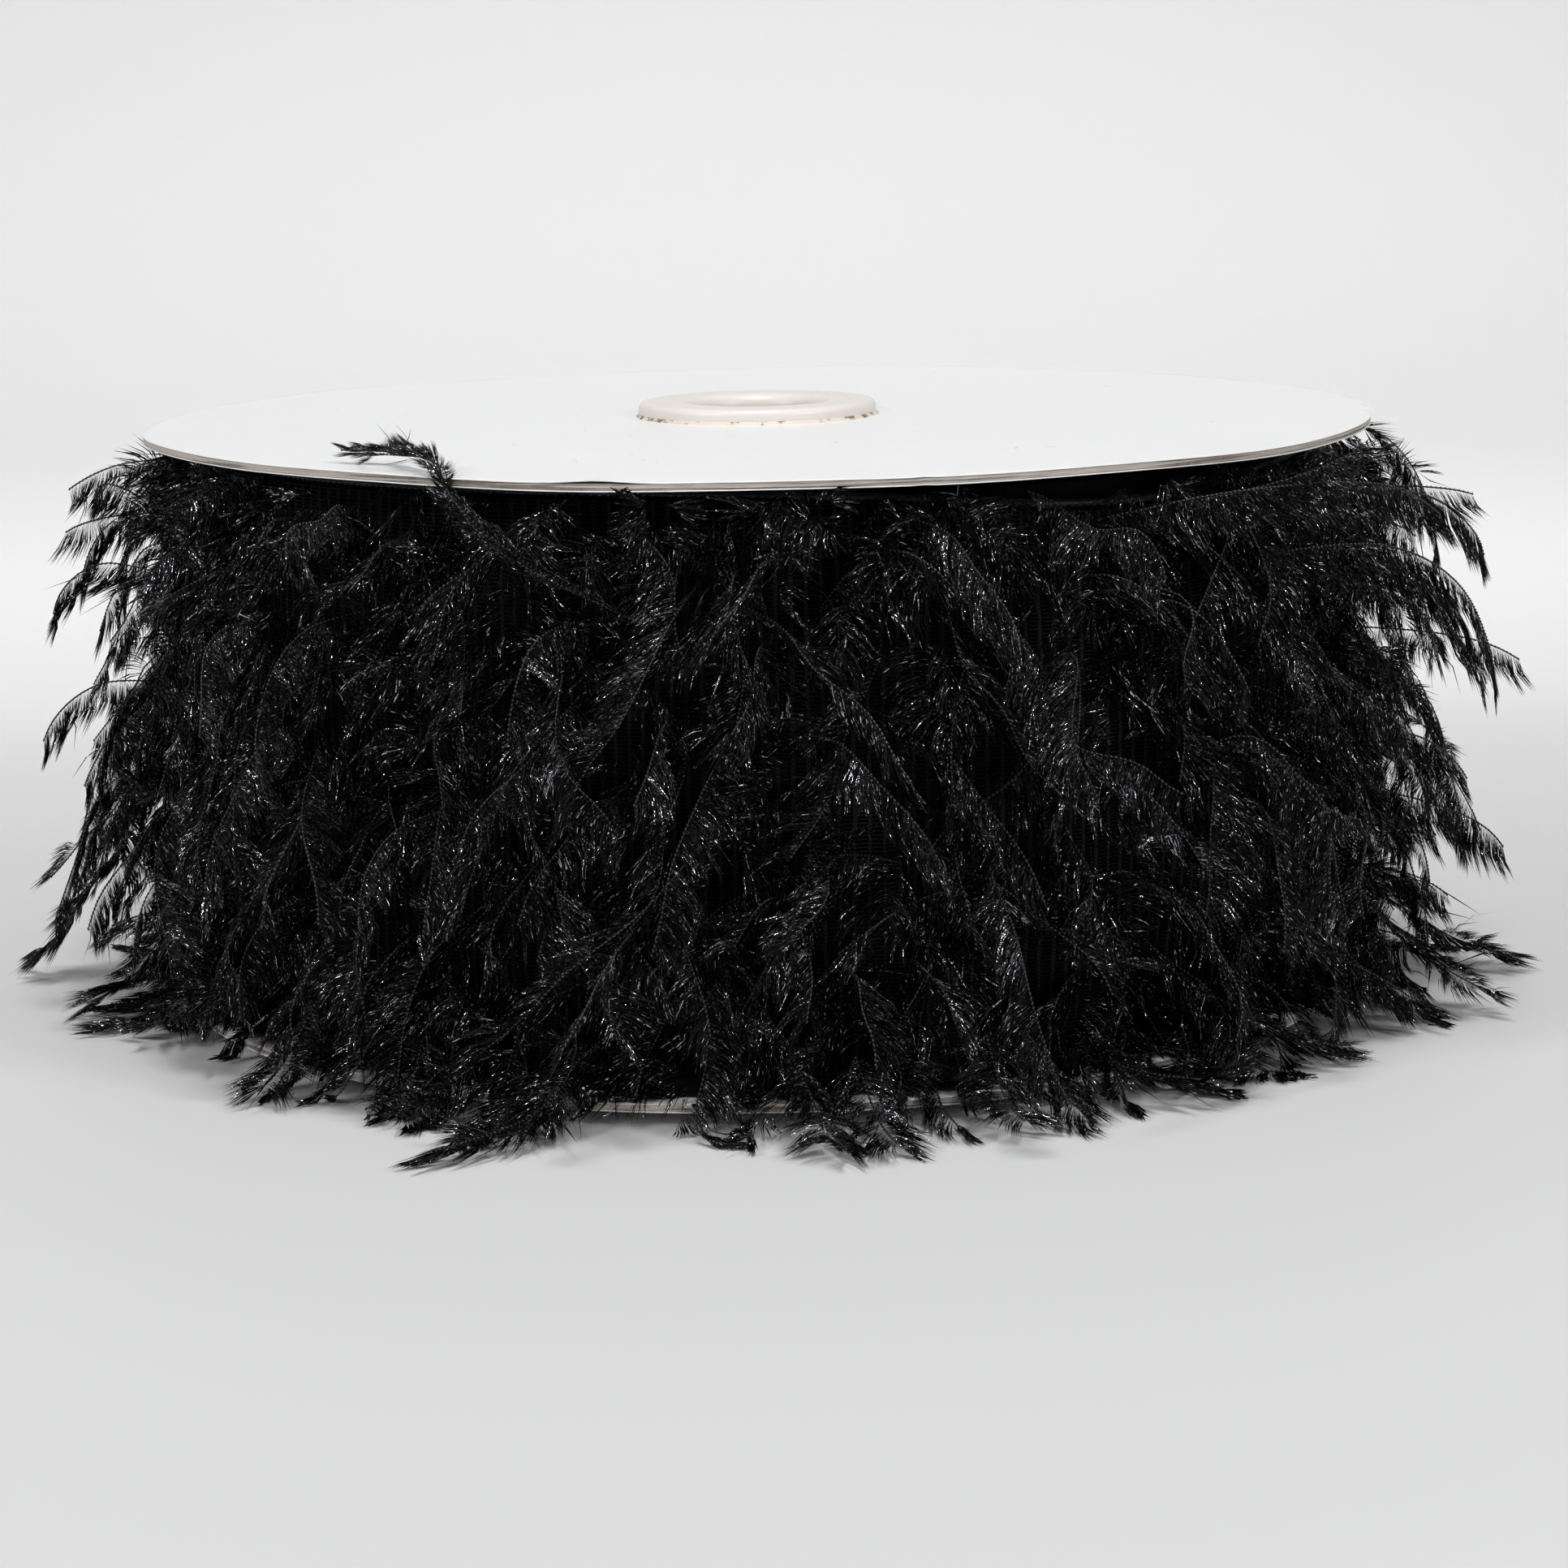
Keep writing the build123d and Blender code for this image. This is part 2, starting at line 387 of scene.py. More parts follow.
# %% White coated card
coated_card = Finish("coated_card", {"Specular IOR Level": 0.5, "Coat Weight": 0.3, "Coat Roughness": 0.25})
card_place = coated_card.place()
card_cloud = coated_card.noise(card_place, 35.0, 3.0)
card_fibre = coated_card.noise(coated_card.place((1, 7, 1)), 260.0, 2.0)
card_speck = smooth(coated_card.noise(card_place, 420.0, 1.0), 0.79, 0.83)
card_scratch = smooth(coated_card.noise(coated_card.place((0.6, 9, 1)), 55.0, 2.0), 0.74, 0.77)
card_colour = coated_card.blend(card_cloud, grey(0.875), grey(0.905))
card_colour = coated_card.blend(card_scratch * 0.25, card_colour, (0.52, 0.50, 0.48, 1))
coated_card.colour(coated_card.blend(card_speck * 0.6, card_colour, (0.38, 0.34, 0.31, 1)))
coated_card.roughness(0.34 + 0.14 * card_cloud)
coated_card.bump(card_cloud * 0.7 + card_fibre * 0.3, 0.00012, 0.35)

# %% Greyboard: the brown-grey pulp core, seen at the cut edge
greyboard = Finish("greyboard", {"Roughness": 0.92, "Specular IOR Level": 0.2})
board_layers = greyboard.noise(greyboard.place((30, 30, 2400)), 1.0, 2.0, 0.6)
board_fibre = greyboard.noise(greyboard.place(), 900.0, 2.0)
dark_layer = smooth(board_layers, 0.52, 0.6)
board_colour = greyboard.blend(dark_layer, (0.56, 0.51, 0.46, 1), (0.15, 0.11, 0.085, 1))
greyboard.colour(greyboard.blend(board_fibre * 0.5, board_colour, (0.60, 0.55, 0.50, 1)))
greyboard.bump(board_layers * 0.5 + board_fibre * 0.5, 0.0003, 0.8)

# %% [markdown]
# ## Hub, glue, tube and tape
#
# The hubs are moulded in cream polyethylene, which lets a little light in below its surface. Hot glue holds
# them to the card and has browned in patches. The tube and the sticky tape lie inside the wind and hardly
# show, so one noise each is enough for them.

# %% Cream polyethylene of the hubs
cream = {"Subsurface Weight": 0.2, "Subsurface Scale": 0.003, "Specular IOR Level": 0.5}
hub_plastic = Finish("hub_plastic", cream)
hub_cloud = hub_plastic.noise(hub_plastic.place(), 60.0, 2.0)
hub_grain = hub_plastic.noise(hub_plastic.place(), 1400.0, 1.0)
hub_plastic.colour(hub_plastic.blend(hub_cloud, (0.77, 0.725, 0.68, 1), (0.82, 0.785, 0.745, 1)))
hub_plastic.roughness(0.32 + 0.12 * hub_cloud)
hub_plastic.bump(hub_cloud * 0.8 + hub_grain * 0.2, 0.0001, 0.4)

# %% Hot glue, paperboard tube and sticky tape
hot_glue = Finish("hot_glue", {"Specular IOR Level": 0.4})
glue_patches = hot_glue.noise(hot_glue.place(), 500.0, 3.0)
browned = smooth(glue_patches, 0.5, 0.62)
hot_glue.colour(hot_glue.blend(browned, (0.74, 0.66, 0.57, 1), (0.25, 0.15, 0.09, 1)))
hot_glue.roughness(0.4 + 0.3 * glue_patches)

tube_board = Finish("tube_board", {"Roughness": 0.85})
tube_seam = tube_board.noise(tube_board.place((1, 1, 12)), 60.0, 3.0)
tube_board.colour(tube_board.blend(tube_seam, (0.30, 0.21, 0.13, 1), (0.46, 0.35, 0.24, 1)))
tube_board.bump(tube_seam, 0.0002, 0.5)

sticky_tape = Finish("sticky_tape", {"Specular IOR Level": 0.5, "Alpha": 0.45})
tape_wrinkle = sticky_tape.noise(sticky_tape.place((1, 1, 0.2)), 220.0, 2.0)
sticky_tape.colour(sticky_tape.blend(tape_wrinkle, (0.72, 0.66, 0.50, 1), (0.82, 0.78, 0.64, 1)))
sticky_tape.roughness(0.12 + 0.2 * tape_wrinkle)

# %% [markdown]
# ## Black satin yarn
#
# Polyester feather yarn is nearly black, but each filament is smooth, so it mirrors the lamps in short
# bright dashes. A filament has two attributes: run goes from 0 at its root to 1 at its tip, and the other
# marks how much its patch of the plume gleams, a painted sheen. A noise on the two marks short flecks along
# each filament, more of them in a gleaming patch, where the dull black is also painted a little lighter. A
# fleck is metallic, so it reflects the lamps, and the rest is dull black, because a plain gloss strong
# enough to sparkle would turn the whole plume grey. The loops of the spine's stitches have an attribute
# too, bead.

# %% Satin filament and chain-stitched spine
satin = Finish("black_satin_filament", {"Specular IOR Level": 0.22})
tone = satin.attribute("tone")
DASHES_PER_FILAMENT, DASHES_PER_SHEEN_PATCH = 5.0, 900.0
dash_place = satin.xyz(satin.attribute("run") * DASHES_PER_FILAMENT, tone * DASHES_PER_SHEEN_PATCH)
crimp = satin.noise(dash_place, 1.0, 0.0)
# Painted sheen: in the gleaming patches of a plume the flecks are more and the dull black is painted a little
# lighter. The flecks themselves are metallic and reflect the lamps.
fleck_edge = 0.70 - 0.18 * tone
fleck = smooth(crimp, fleck_edge, fleck_edge + 0.05)
dull_black = satin.blend(tone, (0.0006, 0.0006, 0.0008, 1), (0.003, 0.0028, 0.003, 1))
satin.colour(satin.blend(fleck, dull_black, (0.56, 0.56, 0.60, 1)))
satin.feed(satin.shader.inputs["Metallic"], fleck)
satin.roughness(0.32 - 0.10 * fleck)
satin.bump(satin.noise(satin.place(), 1500.0, 0.0), 0.0003, 1.0)

spine_thread = Finish("black_spine_thread", {"Specular IOR Level": 0.3})
thread_twist = spine_thread.noise(spine_thread.place(), 2200.0, 1.0)
bead = spine_thread.attribute("bead")
thread_black = spine_thread.blend(thread_twist, (0.0008, 0.0008, 0.001, 1), (0.003, 0.0028, 0.003, 1))
spine_thread.colour(spine_thread.blend(bead, thread_black, (0.09, 0.09, 0.097, 1)))
spine_thread.feed(spine_thread.shader.inputs["Metallic"], bead * 0.9)
spine_thread.roughness(0.24 + 0.2 * thread_twist)
spine_thread.bump(thread_twist, 0.0002, 0.6)

# %% Packed fluff
packed_fluff = Finish("black_packed_fluff", {"Specular IOR Level": 0.1, "Roughness": 0.9})
fluff_clump = packed_fluff.noise(packed_fluff.place((1, 1, 0.3)), 600.0, 3.0)
packed_fluff.colour(packed_fluff.blend(fluff_clump, (0.0008, 0.0008, 0.001, 1), (0.006, 0.0055, 0.006, 1)))
packed_fluff.bump(fluff_clump, 0.0012, 1.0)

# %% [markdown]
# ## Knitted net
#
# The tape is a warp knit: cords called wales, with fine rungs between them and holes between those. One
# cosine along the tape draws the wales and one across it draws the rungs. Where neither has thread the net
# is open, so the larger of the two feeds Alpha. The UV map is in metres, so the pitches below are real
# ones.

# %% Knitted net
knitted_net = Finish("black_knitted_net", {"Specular IOR Level": 0.18, "Roughness": 0.55})
net_uv = knitted_net.node("ShaderNodeTexCoord", out="UV")
net_along, net_across, _ = knitted_net.split(net_uv)
WALE_GAP, RUNG_GAP = 2.5 * MM, 0.7 * MM
wobble = knitted_net.noise(net_uv, 260.0, 2.0) - 0.5
wale_wave = ((net_along / WALE_GAP + wobble * 0.35) * math.tau).math("COSINE")
rung_wave = ((net_across / RUNG_GAP + wobble * 0.5) * math.tau).math("COSINE")
wale = smooth(wale_wave, 0.35, 0.8)
rung = smooth(rung_wave, -0.1, 0.5)
knit = wale.math("MAXIMUM", rung)
knitted_net.colour(knitted_net.blend(wale, (0.0012, 0.0012, 0.0014, 1), (0.005, 0.005, 0.0055, 1)))
knitted_net.feed(knitted_net.shader.inputs["Alpha"], knit)
knitted_net.bump(wale + rung * rung_wave * 0.5, 0.0004, 1.0)
print("finishes:", len(bpy.data.materials))

# %% [markdown]
# ## Geometry Nodes with named inputs
#
# What repeats on this piece is made by Geometry Nodes. A small class builds a tree with named inputs, and
# one function runs a tree on an object: it sets each input by the socket's identifier, turns the evaluated
# result into a plain mesh, and takes the modifier off again.

# %% Trees and how they are run
SOCKETS = {
    "number": "NodeSocketFloat",
    "count": "NodeSocketInt",
    "object": "NodeSocketObject",
    "material": "NodeSocketMaterial",
}


class Tree(Board):
    """A Geometry Nodes tree: geometry in, named inputs, geometry out."""

    def __init__(self, name, inputs):
        super().__init__(bpy.data.node_groups.new(name, "GeometryNodeTree"))
        face = self.tree.interface
        face.new_socket("Geometry", in_out="INPUT", socket_type="NodeSocketGeometry")
        for label, kind in inputs.items():
            face.new_socket(label, in_out="INPUT", socket_type=SOCKETS[kind])
        face.new_socket("Geometry", in_out="OUTPUT", socket_type="NodeSocketGeometry")
        self.entry = self.tree.nodes.new("NodeGroupInput")
        self.exit = self.tree.nodes.new("NodeGroupOutput")

    def input(self, name):
        return Wire(self, self.entry.outputs[name])

    def field(self, name, data_type="FLOAT"):
        """A named attribute of the points that the tree works on."""
        return self.node("GeometryNodeInputNamedAttribute", {"data_type": data_type}, {"Name": name})

    def random(self, low, high, seed, identity=None):
        links = {"Min": low, "Max": high, "Seed": seed}
        if identity is not None:
            links["ID"] = identity
        return self.node("FunctionNodeRandomValue", {"data_type": "FLOAT"}, links)

    def walk(self, mode, name, value):
        """The incoming edges as a curve, points along it, and its direction at each point."""
        curve = self.node("GeometryNodeMeshToCurve", {}, {"Mesh": self.input("Geometry")})
        spaced = self.node("GeometryNodeResampleCurve", {"mode": mode}, {"Curve": curve, name: value})
        dots = self.node("GeometryNodeCurveToPoints", {"mode": "EVALUATED"}, {"Curve": spaced})
        return curve, dots, self.sibling(dots, "Tangent")

    def store(self, geometry, name, value, data_type="FLOAT", domain="POINT"):
        """Keeps a value on the points or the instances under a name."""
        settings = {"data_type": data_type, "domain": domain}
        links = {"Geometry": geometry, "Name": name, "Value": value}
        return self.node("GeometryNodeStoreNamedAttribute", settings, links)

    def stand(self, dots, source, heading, facing, scale, pick=None):
        """Copies of a source object on points, +Z along the heading. With pick, one of its islands each."""
        settings = {"primary_axis": "Z", "secondary_axis": "X"}
        links = {"Primary Axis": heading, "Secondary Axis": facing}
        turn = self.node("FunctionNodeAxesToRotation", settings, links)
        shape = self.node("GeometryNodeObjectInfo", {}, {"Object": self.input(source)}, "Geometry")
        links = {"Points": dots, "Instance": shape, "Rotation": turn, "Scale": scale}
        if pick is not None:
            islands = {"Geometry": shape, "Group ID": self.field("kind", "INT")}
            kinds = self.node("GeometryNodeSplitToInstances", {"domain": "FACE"}, islands)
            links |= {"Instance": kinds, "Pick Instance": True, "Instance Index": pick}
        return self.node("GeometryNodeInstanceOnPoints", {}, links)

    def finish(self, geometry, material):
        """Realize Instances and Set Material, then out."""
        real = self.node("GeometryNodeRealizeInstances", {}, {"Geometry": geometry})
        dressed = self.node("GeometryNodeSetMaterial", {}, {"Geometry": real, "Material": material})
        self.feed(self.exit.inputs["Geometry"], dressed)


def run_tree(tree, source, name, values):
    """The result of a tree on a source object, as a new plain mesh object. The source is removed."""
    modifier = source.modifiers.new("tree", "NODES")
    modifier.node_group = tree.tree
    for item in tree.tree.interface.items_tree:
        if item.in_out == "INPUT" and item.name in values:
            modifier[item.identifier] = values[item.name]
    bpy.context.view_layer.update()
    graph = bpy.context.evaluated_depsgraph_get()
    mesh = bpy.data.meshes.new_from_object(source.evaluated_get(graph), depsgraph=graph)
    source.modifiers.remove(modifier)
    bpy.data.objects.remove(source)
    mesh.name = name
    made = bpy.data.objects.new(name, mesh)
    bpy.context.scene.collection.objects.link(made)
    mesh.calc_loop_triangles()
    print(f"{name}: {len(mesh.loop_triangles)} triangles")
    return made


# %% [markdown]
# ## One filament, in several twists
#
# A satin filament is a fine round rod. A bundle of them shines only where the bundle lies square to the
# lamp, which is why one lock of a plume is bright and the next is black. A true rod costs too many faces
# for hundreds of thousands of filaments. A leaf of four triangles with a ridge down its middle does the
# same: smooth shading turns its normals round the ridge as they turn round a rod. The template holds
# several leaves, each rolled about its own length by a different angle, and the tree picks one at random.
# Each bends the same way, so that the tuft sweeps towards the tip of its plume.

# %% Filament template
FILAMENT_ROLLS = 7
FILAMENT_BEND = math.radians(24)


def filament_templates(name, width):
    """Ridged leaves of unit length along +Z that bend towards +X, as separate islands with a number each."""
    points, faces, kinds = [], [], []
    for roll in range(FILAMENT_ROLLS):
        turn = math.tau * roll / FILAMENT_ROLLS
        across = Vector((math.cos(turn), math.sin(turn), 0))
        ridge = Vector((-math.sin(turn), math.cos(turn), 0)) * math.tan(math.radians((45, 30, 12)[roll % 3]))
        bend = FILAMENT_BEND * (0.8 + roll % 3 * 0.2)
        knee = Vector((-math.sin(bend / 2), 0, math.cos(bend / 2))) * 0.5
        tip = knee + Vector((math.sin(bend / 2), 0, math.cos(bend / 2))) * 0.5
        half = width / 2
        start = len(points)
        points += [Vector((0, 0, 0)), knee - across * half, knee + ridge * half, knee + across * half, tip]
        leaf = [(0, 2, 1), (0, 3, 2), (1, 2, 4), (2, 3, 4)]
        faces += [tuple(start + corner for corner in face) for face in leaf]
        kinds += [roll] * len(leaf)
    made = mesh_object(name, points, faces)
    numbered(made, "kind", "INT", "FACE", kinds)
    numbered(made, "run", "FLOAT", "POINT", [0.0, 0.5, 0.5, 0.5, 1.0] * FILAMENT_ROLLS)
    made.data.shade_smooth()
    return made


# %% [markdown]
# ## A fringe that gathers in locks
#
# The filaments of a plume cling together in locks a millimetre or two wide, and a whole patch of them leans
# alike and gets the same painted sheen. So the tree numbers the locks along the spine and draws some random
# values once per lock, and drift() gives values that change slowly along the plume. Every filament then heads
# forward along the spine and out to its side, is pulled towards the middle of its lock, and sags a little.

# %% The fringe tree
FRINGE_INPUTS = {"Filament": "object", "Seed": "count", "Material": "material"} | dict.fromkeys(
    ("Spacing", "Length", "Sweep", "Lock", "Pull", "Spread", "Sag", "Roof", "Open Roof"), "number"
)
LAST_KIND = FILAMENT_ROLLS - 0.01


def drift(tree, distance, plume, reach, offset):
    """A value round 0.5 that changes slowly along a plume, over about the given reach."""
    where = tree.xyz(distance / reach, plume * 7.3, offset)
    return tree.node("ShaderNodeTexNoise", {}, {"Vector": where, "Scale": 1.0, "Detail": 1.0})


def fringe_tree():
    """Filaments along every spine, gathered in locks and swept towards the tip."""
    tree = Tree("fringe", FRINGE_INPUTS)
    length, lock, seed = tree.input("Length"), tree.input("Lock"), tree.input("Seed")
    curve, dots, tangent = tree.walk("LENGTH", "Length", tree.input("Spacing"))
    dots = tree.store(dots, "forward", tangent, "FLOAT_VECTOR")
    along, span, plume = tree.field("along"), tree.field("span"), tree.field("plume")
    distance = along * span
    lock_number = (distance / lock + tree.random(-0.2, 0.2, seed)).math("FLOOR")
    lock_name = plume * 200.0 + lock_number
    # Painted sheen: gleam is a slow noise along the plume that the satin finish turns into lighter, more
    # flecked patches.
    gleam = smooth(drift(tree, distance, plume, 5 * MM, 3.0), 0.42, 0.72)
    dots = tree.store(dots, "gleam", gleam * 0.85 + tree.random(0.0, 0.15, seed + 10.0))
    forward = tree.field("forward", "FLOAT_VECTOR").vector("NORMALIZE")
    side = tree.field("side", "FLOAT_VECTOR").vector("NORMALIZE")
    normal = forward.vector("CROSS_PRODUCT", side)
    to_centre = (lock_number + 0.5) * lock - distance

    tip = smooth(along, 0.72, 1.0)
    sweep = tree.input("Sweep") * (1 - 0.5 * tip) + tree.random(-0.06, 0.06, seed + 1.0)
    sweep = sweep + tree.random(-0.12, 0.12, seed + 2.0, lock_name)
    sweep = sweep + (drift(tree, distance, plume, 7 * MM, 5.0) - 0.5) * 1.6
    sweep = sweep + tree.random(-0.2, 0.5, seed + 11.0, plume)
    spread = tree.input("Spread")
    lift = tree.random(-0.3, 0.3, seed + 3.0, lock_name) * spread + tree.random(-0.09, 0.09, seed + 4.0)
    lift = lift + (drift(tree, distance, plume, 9 * MM, 8.0) - 0.5) * 4.5 * spread
    body = smooth(along, -0.1, 0.18) * (1 - 0.25 * smooth(along, 0.85, 1.0))
    reach = length * tree.random(0.72, 1.08, seed + 5.0)
    reach = reach * tree.random(0.8, 1.12, seed + 6.0, lock_name) * body
    reach = reach * (1 - 0.55 * tree.random(0.0, 1.0, seed + 12.0, lock_name).math("LESS_THAN", 0.14))
    stray = tree.random(0.0, 1.0, seed + 7.0).math("LESS_THAN", 0.005)
    reach = reach * (1 + stray * 0.5)

    outward = side * lift.math("COSINE") + normal * lift.math("SINE")
    heading = forward * sweep.math("COSINE") + outward * sweep.math("SINE")
    heading = heading + forward * (to_centre * tree.input("Pull") / length)
    wild = tree.node(
        "FunctionNodeRandomValue",
        {"data_type": "FLOAT_VECTOR"},
        {"Min": (-1.0, -1.0, -1.0), "Max": (1.0, 1.0, 1.0), "Seed": seed + 8.0},
    )
    heading = heading + wild * (0.03 + stray * 0.6)
    heading = (heading + tree.xyz(z=-tree.input("Sag"))).vector("NORMALIZE")

    pick = tree.random(0.0, LAST_KIND, seed + 9.0).math("FLOOR")
    tufts = tree.stand(dots, "Filament", heading, forward, reach, pick)
    toned = tree.store(tufts, "tone", tree.field("gleam"), domain="INSTANCE")
    real = tree.node("GeometryNodeRealizeInstances", {}, {"Geometry": toned})
    tree.finish(between_the_discs(tree, real), tree.input("Material"))
    return tree


def between_the_discs(tree, geometry):
    """Filaments bend aside at the card and at the floor instead of passing through."""
    x, y, z = tree.split(tree.node("GeometryNodeInputPosition"))
    inside = (x * x + y * y).math("SQRT").math("LESS_THAN", DISC_RADIUS + 0.7 * MM)
    rough = tree.random(0.0, 1.2 * MM, 77)
    ceiling = inside * tree.input("Roof") + (1 - inside) * tree.input("Open Roof") - rough
    ground = inside * CARD_FLOOR_Z + 0.15 * MM + rough
    height = z.math("MINIMUM", ceiling).math("MAXIMUM", ground)
    held = tree.xyz(x, y, height)
    return tree.node("GeometryNodeSetPosition", {}, {"Geometry": geometry, "Position": held})


FRINGE = fringe_tree()
FINE_FILAMENTS = filament_templates("fine_filaments", 0.024)
COARSE_FILAMENTS = filament_templates("coarse_filaments", 0.035)

# %% [markdown]
# ## A chain-stitched cord
#
# The spine of a plume is a thread with a chain stitch over it, and so is each edge cord of the tape, at
# five times the size. The tree sweeps a small ring along the line for the thread and lays a slanted bead on
# it for each loop of the stitch. A bead has six faces, since thousands of them are needed.

# %% The spine tree
SPINE_INPUTS = {"Bead": "object", "Material": "material"} | dict.fromkeys(
    ("Radius", "Stitch", "Slant", "Bead Size"), "number"
)


def stitch_bead():
    """One loop of the chain stitch: a long six-sided bead of unit length along +Z."""
    waist = [(0.36 * math.cos(math.tau * k / 3), 0.36 * math.sin(math.tau * k / 3), 0) for k in range(3)]
    faces = [(0, 1, 3), (1, 2, 3), (2, 0, 3), (1, 0, 4), (2, 1, 4), (0, 2, 4)]
    made = mesh_object("stitch_bead", waist + [(0, 0, 0.5), (0, 0, -0.5)], faces)
    numbered(made, "bead", "FLOAT", "POINT", [1.0] * 5)
    made.data.shade_smooth()
    return made


def spine_tree():
    """A thin cord with slanted chain stitches along it."""
    tree = Tree("spine", SPINE_INPUTS)
    curve, dots, tangent = tree.walk("LENGTH", "Length", tree.input("Stitch"))
    size = {"Resolution": 4, "Radius": tree.input("Radius")}
    ring = tree.node("GeometryNodeCurvePrimitiveCircle", {}, size)
    swept = {"Curve": curve, "Profile Curve": ring, "Fill Caps": True}
    cord = tree.node("GeometryNodeCurveToMesh", {}, swept)
    side = tree.field("side", "FLOAT_VECTOR").vector("NORMALIZE")
    slant = tree.input("Slant")
    heading = tangent * slant.math("COSINE") + side * slant.math("SINE")
    beads = tree.stand(dots, "Bead", heading, side, tree.input("Bead Size"))
    both = tree.node("GeometryNodeJoinGeometry", {}, {"Geometry": cord})
    tree.tree.links.new(beads.socket, both.socket.node.inputs["Geometry"])
    tree.finish(both, tree.input("Material"))
    return tree


SPINE = spine_tree()
BEAD = stitch_bead()

# %% [markdown]
# ## How a plume hangs
#
# A plume is a limp cord with a one-sided fringe. It leaves the tape nearly square to it, droops under its
# own weight, lies on the plumes below, and where it reaches the card or the floor it lies flat and splays
# outward. Walking along it in short steps and bending the direction a little at each step gives that line
# without a full simulation, and the same line every time.

# %% Walk one plume
STEPS = 16
UP = Vector((0, 0, 1))


def lowest(radius):
    """How low a plume's spine can lie at a radius: on the lower card, or on the floor beyond its edge."""
    ledge = CARD_FLOOR_Z + 1.0 * MM
    floor = 1.3 * MM
    past_edge = min(max((radius - DISC_RADIUS) / (7 * MM), 0.0), 1.0)
    return ledge + (floor - ledge) * past_edge


def vane_side(heading, radial, side, roll):
    """Where the fringe points: square to the spine, to one side and down, then rolled."""
    wish = UP.cross(radial) * side - UP * 0.8 + radial * 0.2
    flat = (wish - heading * wish.dot(heading)).normalized()
    return flat * math.cos(roll) + heading.cross(flat) * math.sin(roll)


def hang(rng, angle, height, length, rise, lean, side, droop=1.0, layer=0.0, curl=0.0, twist=0.0):
    """Points and side vectors of one plume. Angles in degrees, lengths in millimetres."""
    start = math.radians(angle)
    radial = around(start)
    sideways = UP.cross(radial)
    point = radial * wind_radius(start) + UP * height * MM
    rise, lean = math.radians(rise), math.radians(lean)
    heading = radial * math.cos(lean) * math.cos(rise) + sideways * math.sin(lean) * math.cos(rise)
    heading = (heading + UP * math.sin(rise)).normalized()
    step = length * MM / (STEPS - 1)
    wave = Vector(rng.normal(size=3)) * 0.15
    phase, pace = rng.uniform(0, 6), rng.uniform(0.45, 0.95)
    points, sides = [], []
    for k in range(STEPS):
        radial = Vector((point.x, point.y, 0)).normalized()
        sideways = UP.cross(radial)
        points.append(point.copy())
        roll = math.radians(twist) * (k / STEPS - 0.3) + 0.25 * math.sin(k * 0.7 + angle)
        sides.append(vane_side(heading, radial, side, roll))
        across = math.hypot(heading.x, heading.y)
        weight = droop * 0.16 * (0.2 + across) * (0.4 + 1.4 * k / STEPS)
        heading = heading - UP * weight + wave * math.sin(k * pace + phase)
        heading = (heading + sideways * math.radians(curl) / STEPS).normalized()
        following = point + heading * step
        nearest = wind_radius(math.atan2(following.y, following.x)) + (1.0 + layer * min(1.0, k / 5)) * MM
        radius = math.hypot(following.x, following.y)
        if radius < nearest:
            following = following + radial * (nearest - radius)
        if following.z > ROOF_Z - 2.0 * MM and radius < DISC_RADIUS + 2.5 * MM:
            following.z = ROOF_Z - 2.0 * MM
        floor = lowest(math.hypot(following.x, following.y))
        if following.z < floor:
            following.z = floor
            heading = Vector((heading.x, heading.y, 0)) * 0.8 + radial * 0.45
        heading = (heading * 0.4 + (following - point).normalized() * 0.6).normalized()
        point = point + (following - point).normalized() * step
        point.z = max(point.z, lowest(math.hypot(point.x, point.y)))
    return points, sides


def spine_object(name, plumes):
    """Plumes as loose edge chains that carry what the trees need."""
    points, edges, sides, along, span, number = [], [], [], [], [], []
    for index, (line, side) in enumerate(plumes):
        start, steps = len(points), len(line)
        points += line
        edges += [(start + k, start + k + 1) for k in range(steps - 1)]
        sides += [c for v in side for c in v]
        length = sum((b - a).length for a, b in zip(line, line[1:]))
        along += [k / (steps - 1) for k in range(steps)]
        span += [length] * steps
        number += [index + 1.0] * steps
    made = mesh_object(name, points, [], edges)
    numbered(made, "side", "FLOAT_VECTOR", "POINT", sides)
    for label, values in (("along", along), ("span", span), ("plume", number)):
        numbered(made, label, "FLOAT", "POINT", values)
    return made


# %% [markdown]
# ## Six rows of plumes
#
# The plumes stand in rows along the height of the tape. Each row mixes long outer plumes, which show their
# stitched spines, and short inner ones that only fill the dark between. On the front the plumes part: those
# right of the middle lean right, those left of it lean left. About one in five springs outward before it
# falls, which gives the ragged outline. The top row adds a header of short plumes that hide the edge of the
# tape, and the lowest a foot of short plumes that hide the lower card. A seeded generator draws every
# value, so the plumes fall the same way each time.

# %% Draw the plumes of every row
ROWS = 6
OUTER_IN_ROW, INNER_IN_ROW = 84, 160
HEADER_PLUMES, FOOT_PLUMES = 300, 170
ROW_STEP = (ROOF_Z - CARD_FLOOR_Z - 5 * MM) / ROWS / MM
FIRST_ROW = ROOF_Z / MM - 2.5


def front_lean(angle):
    """How far plumes lean sideways, in degrees, at an angle round the spool: they part at the front."""
    from_front = (angle - 270 + 180) % 360 - 180
    return 34 * math.tanh(from_front / 14) * math.exp(-((from_front / 80) ** 2))


def row_height(rng, row):
    return FIRST_ROW - (row + rng.uniform(0.0, 1.0)) * ROW_STEP


def either_side(rng):
    return 1 if rng.random() < 0.5 else -1


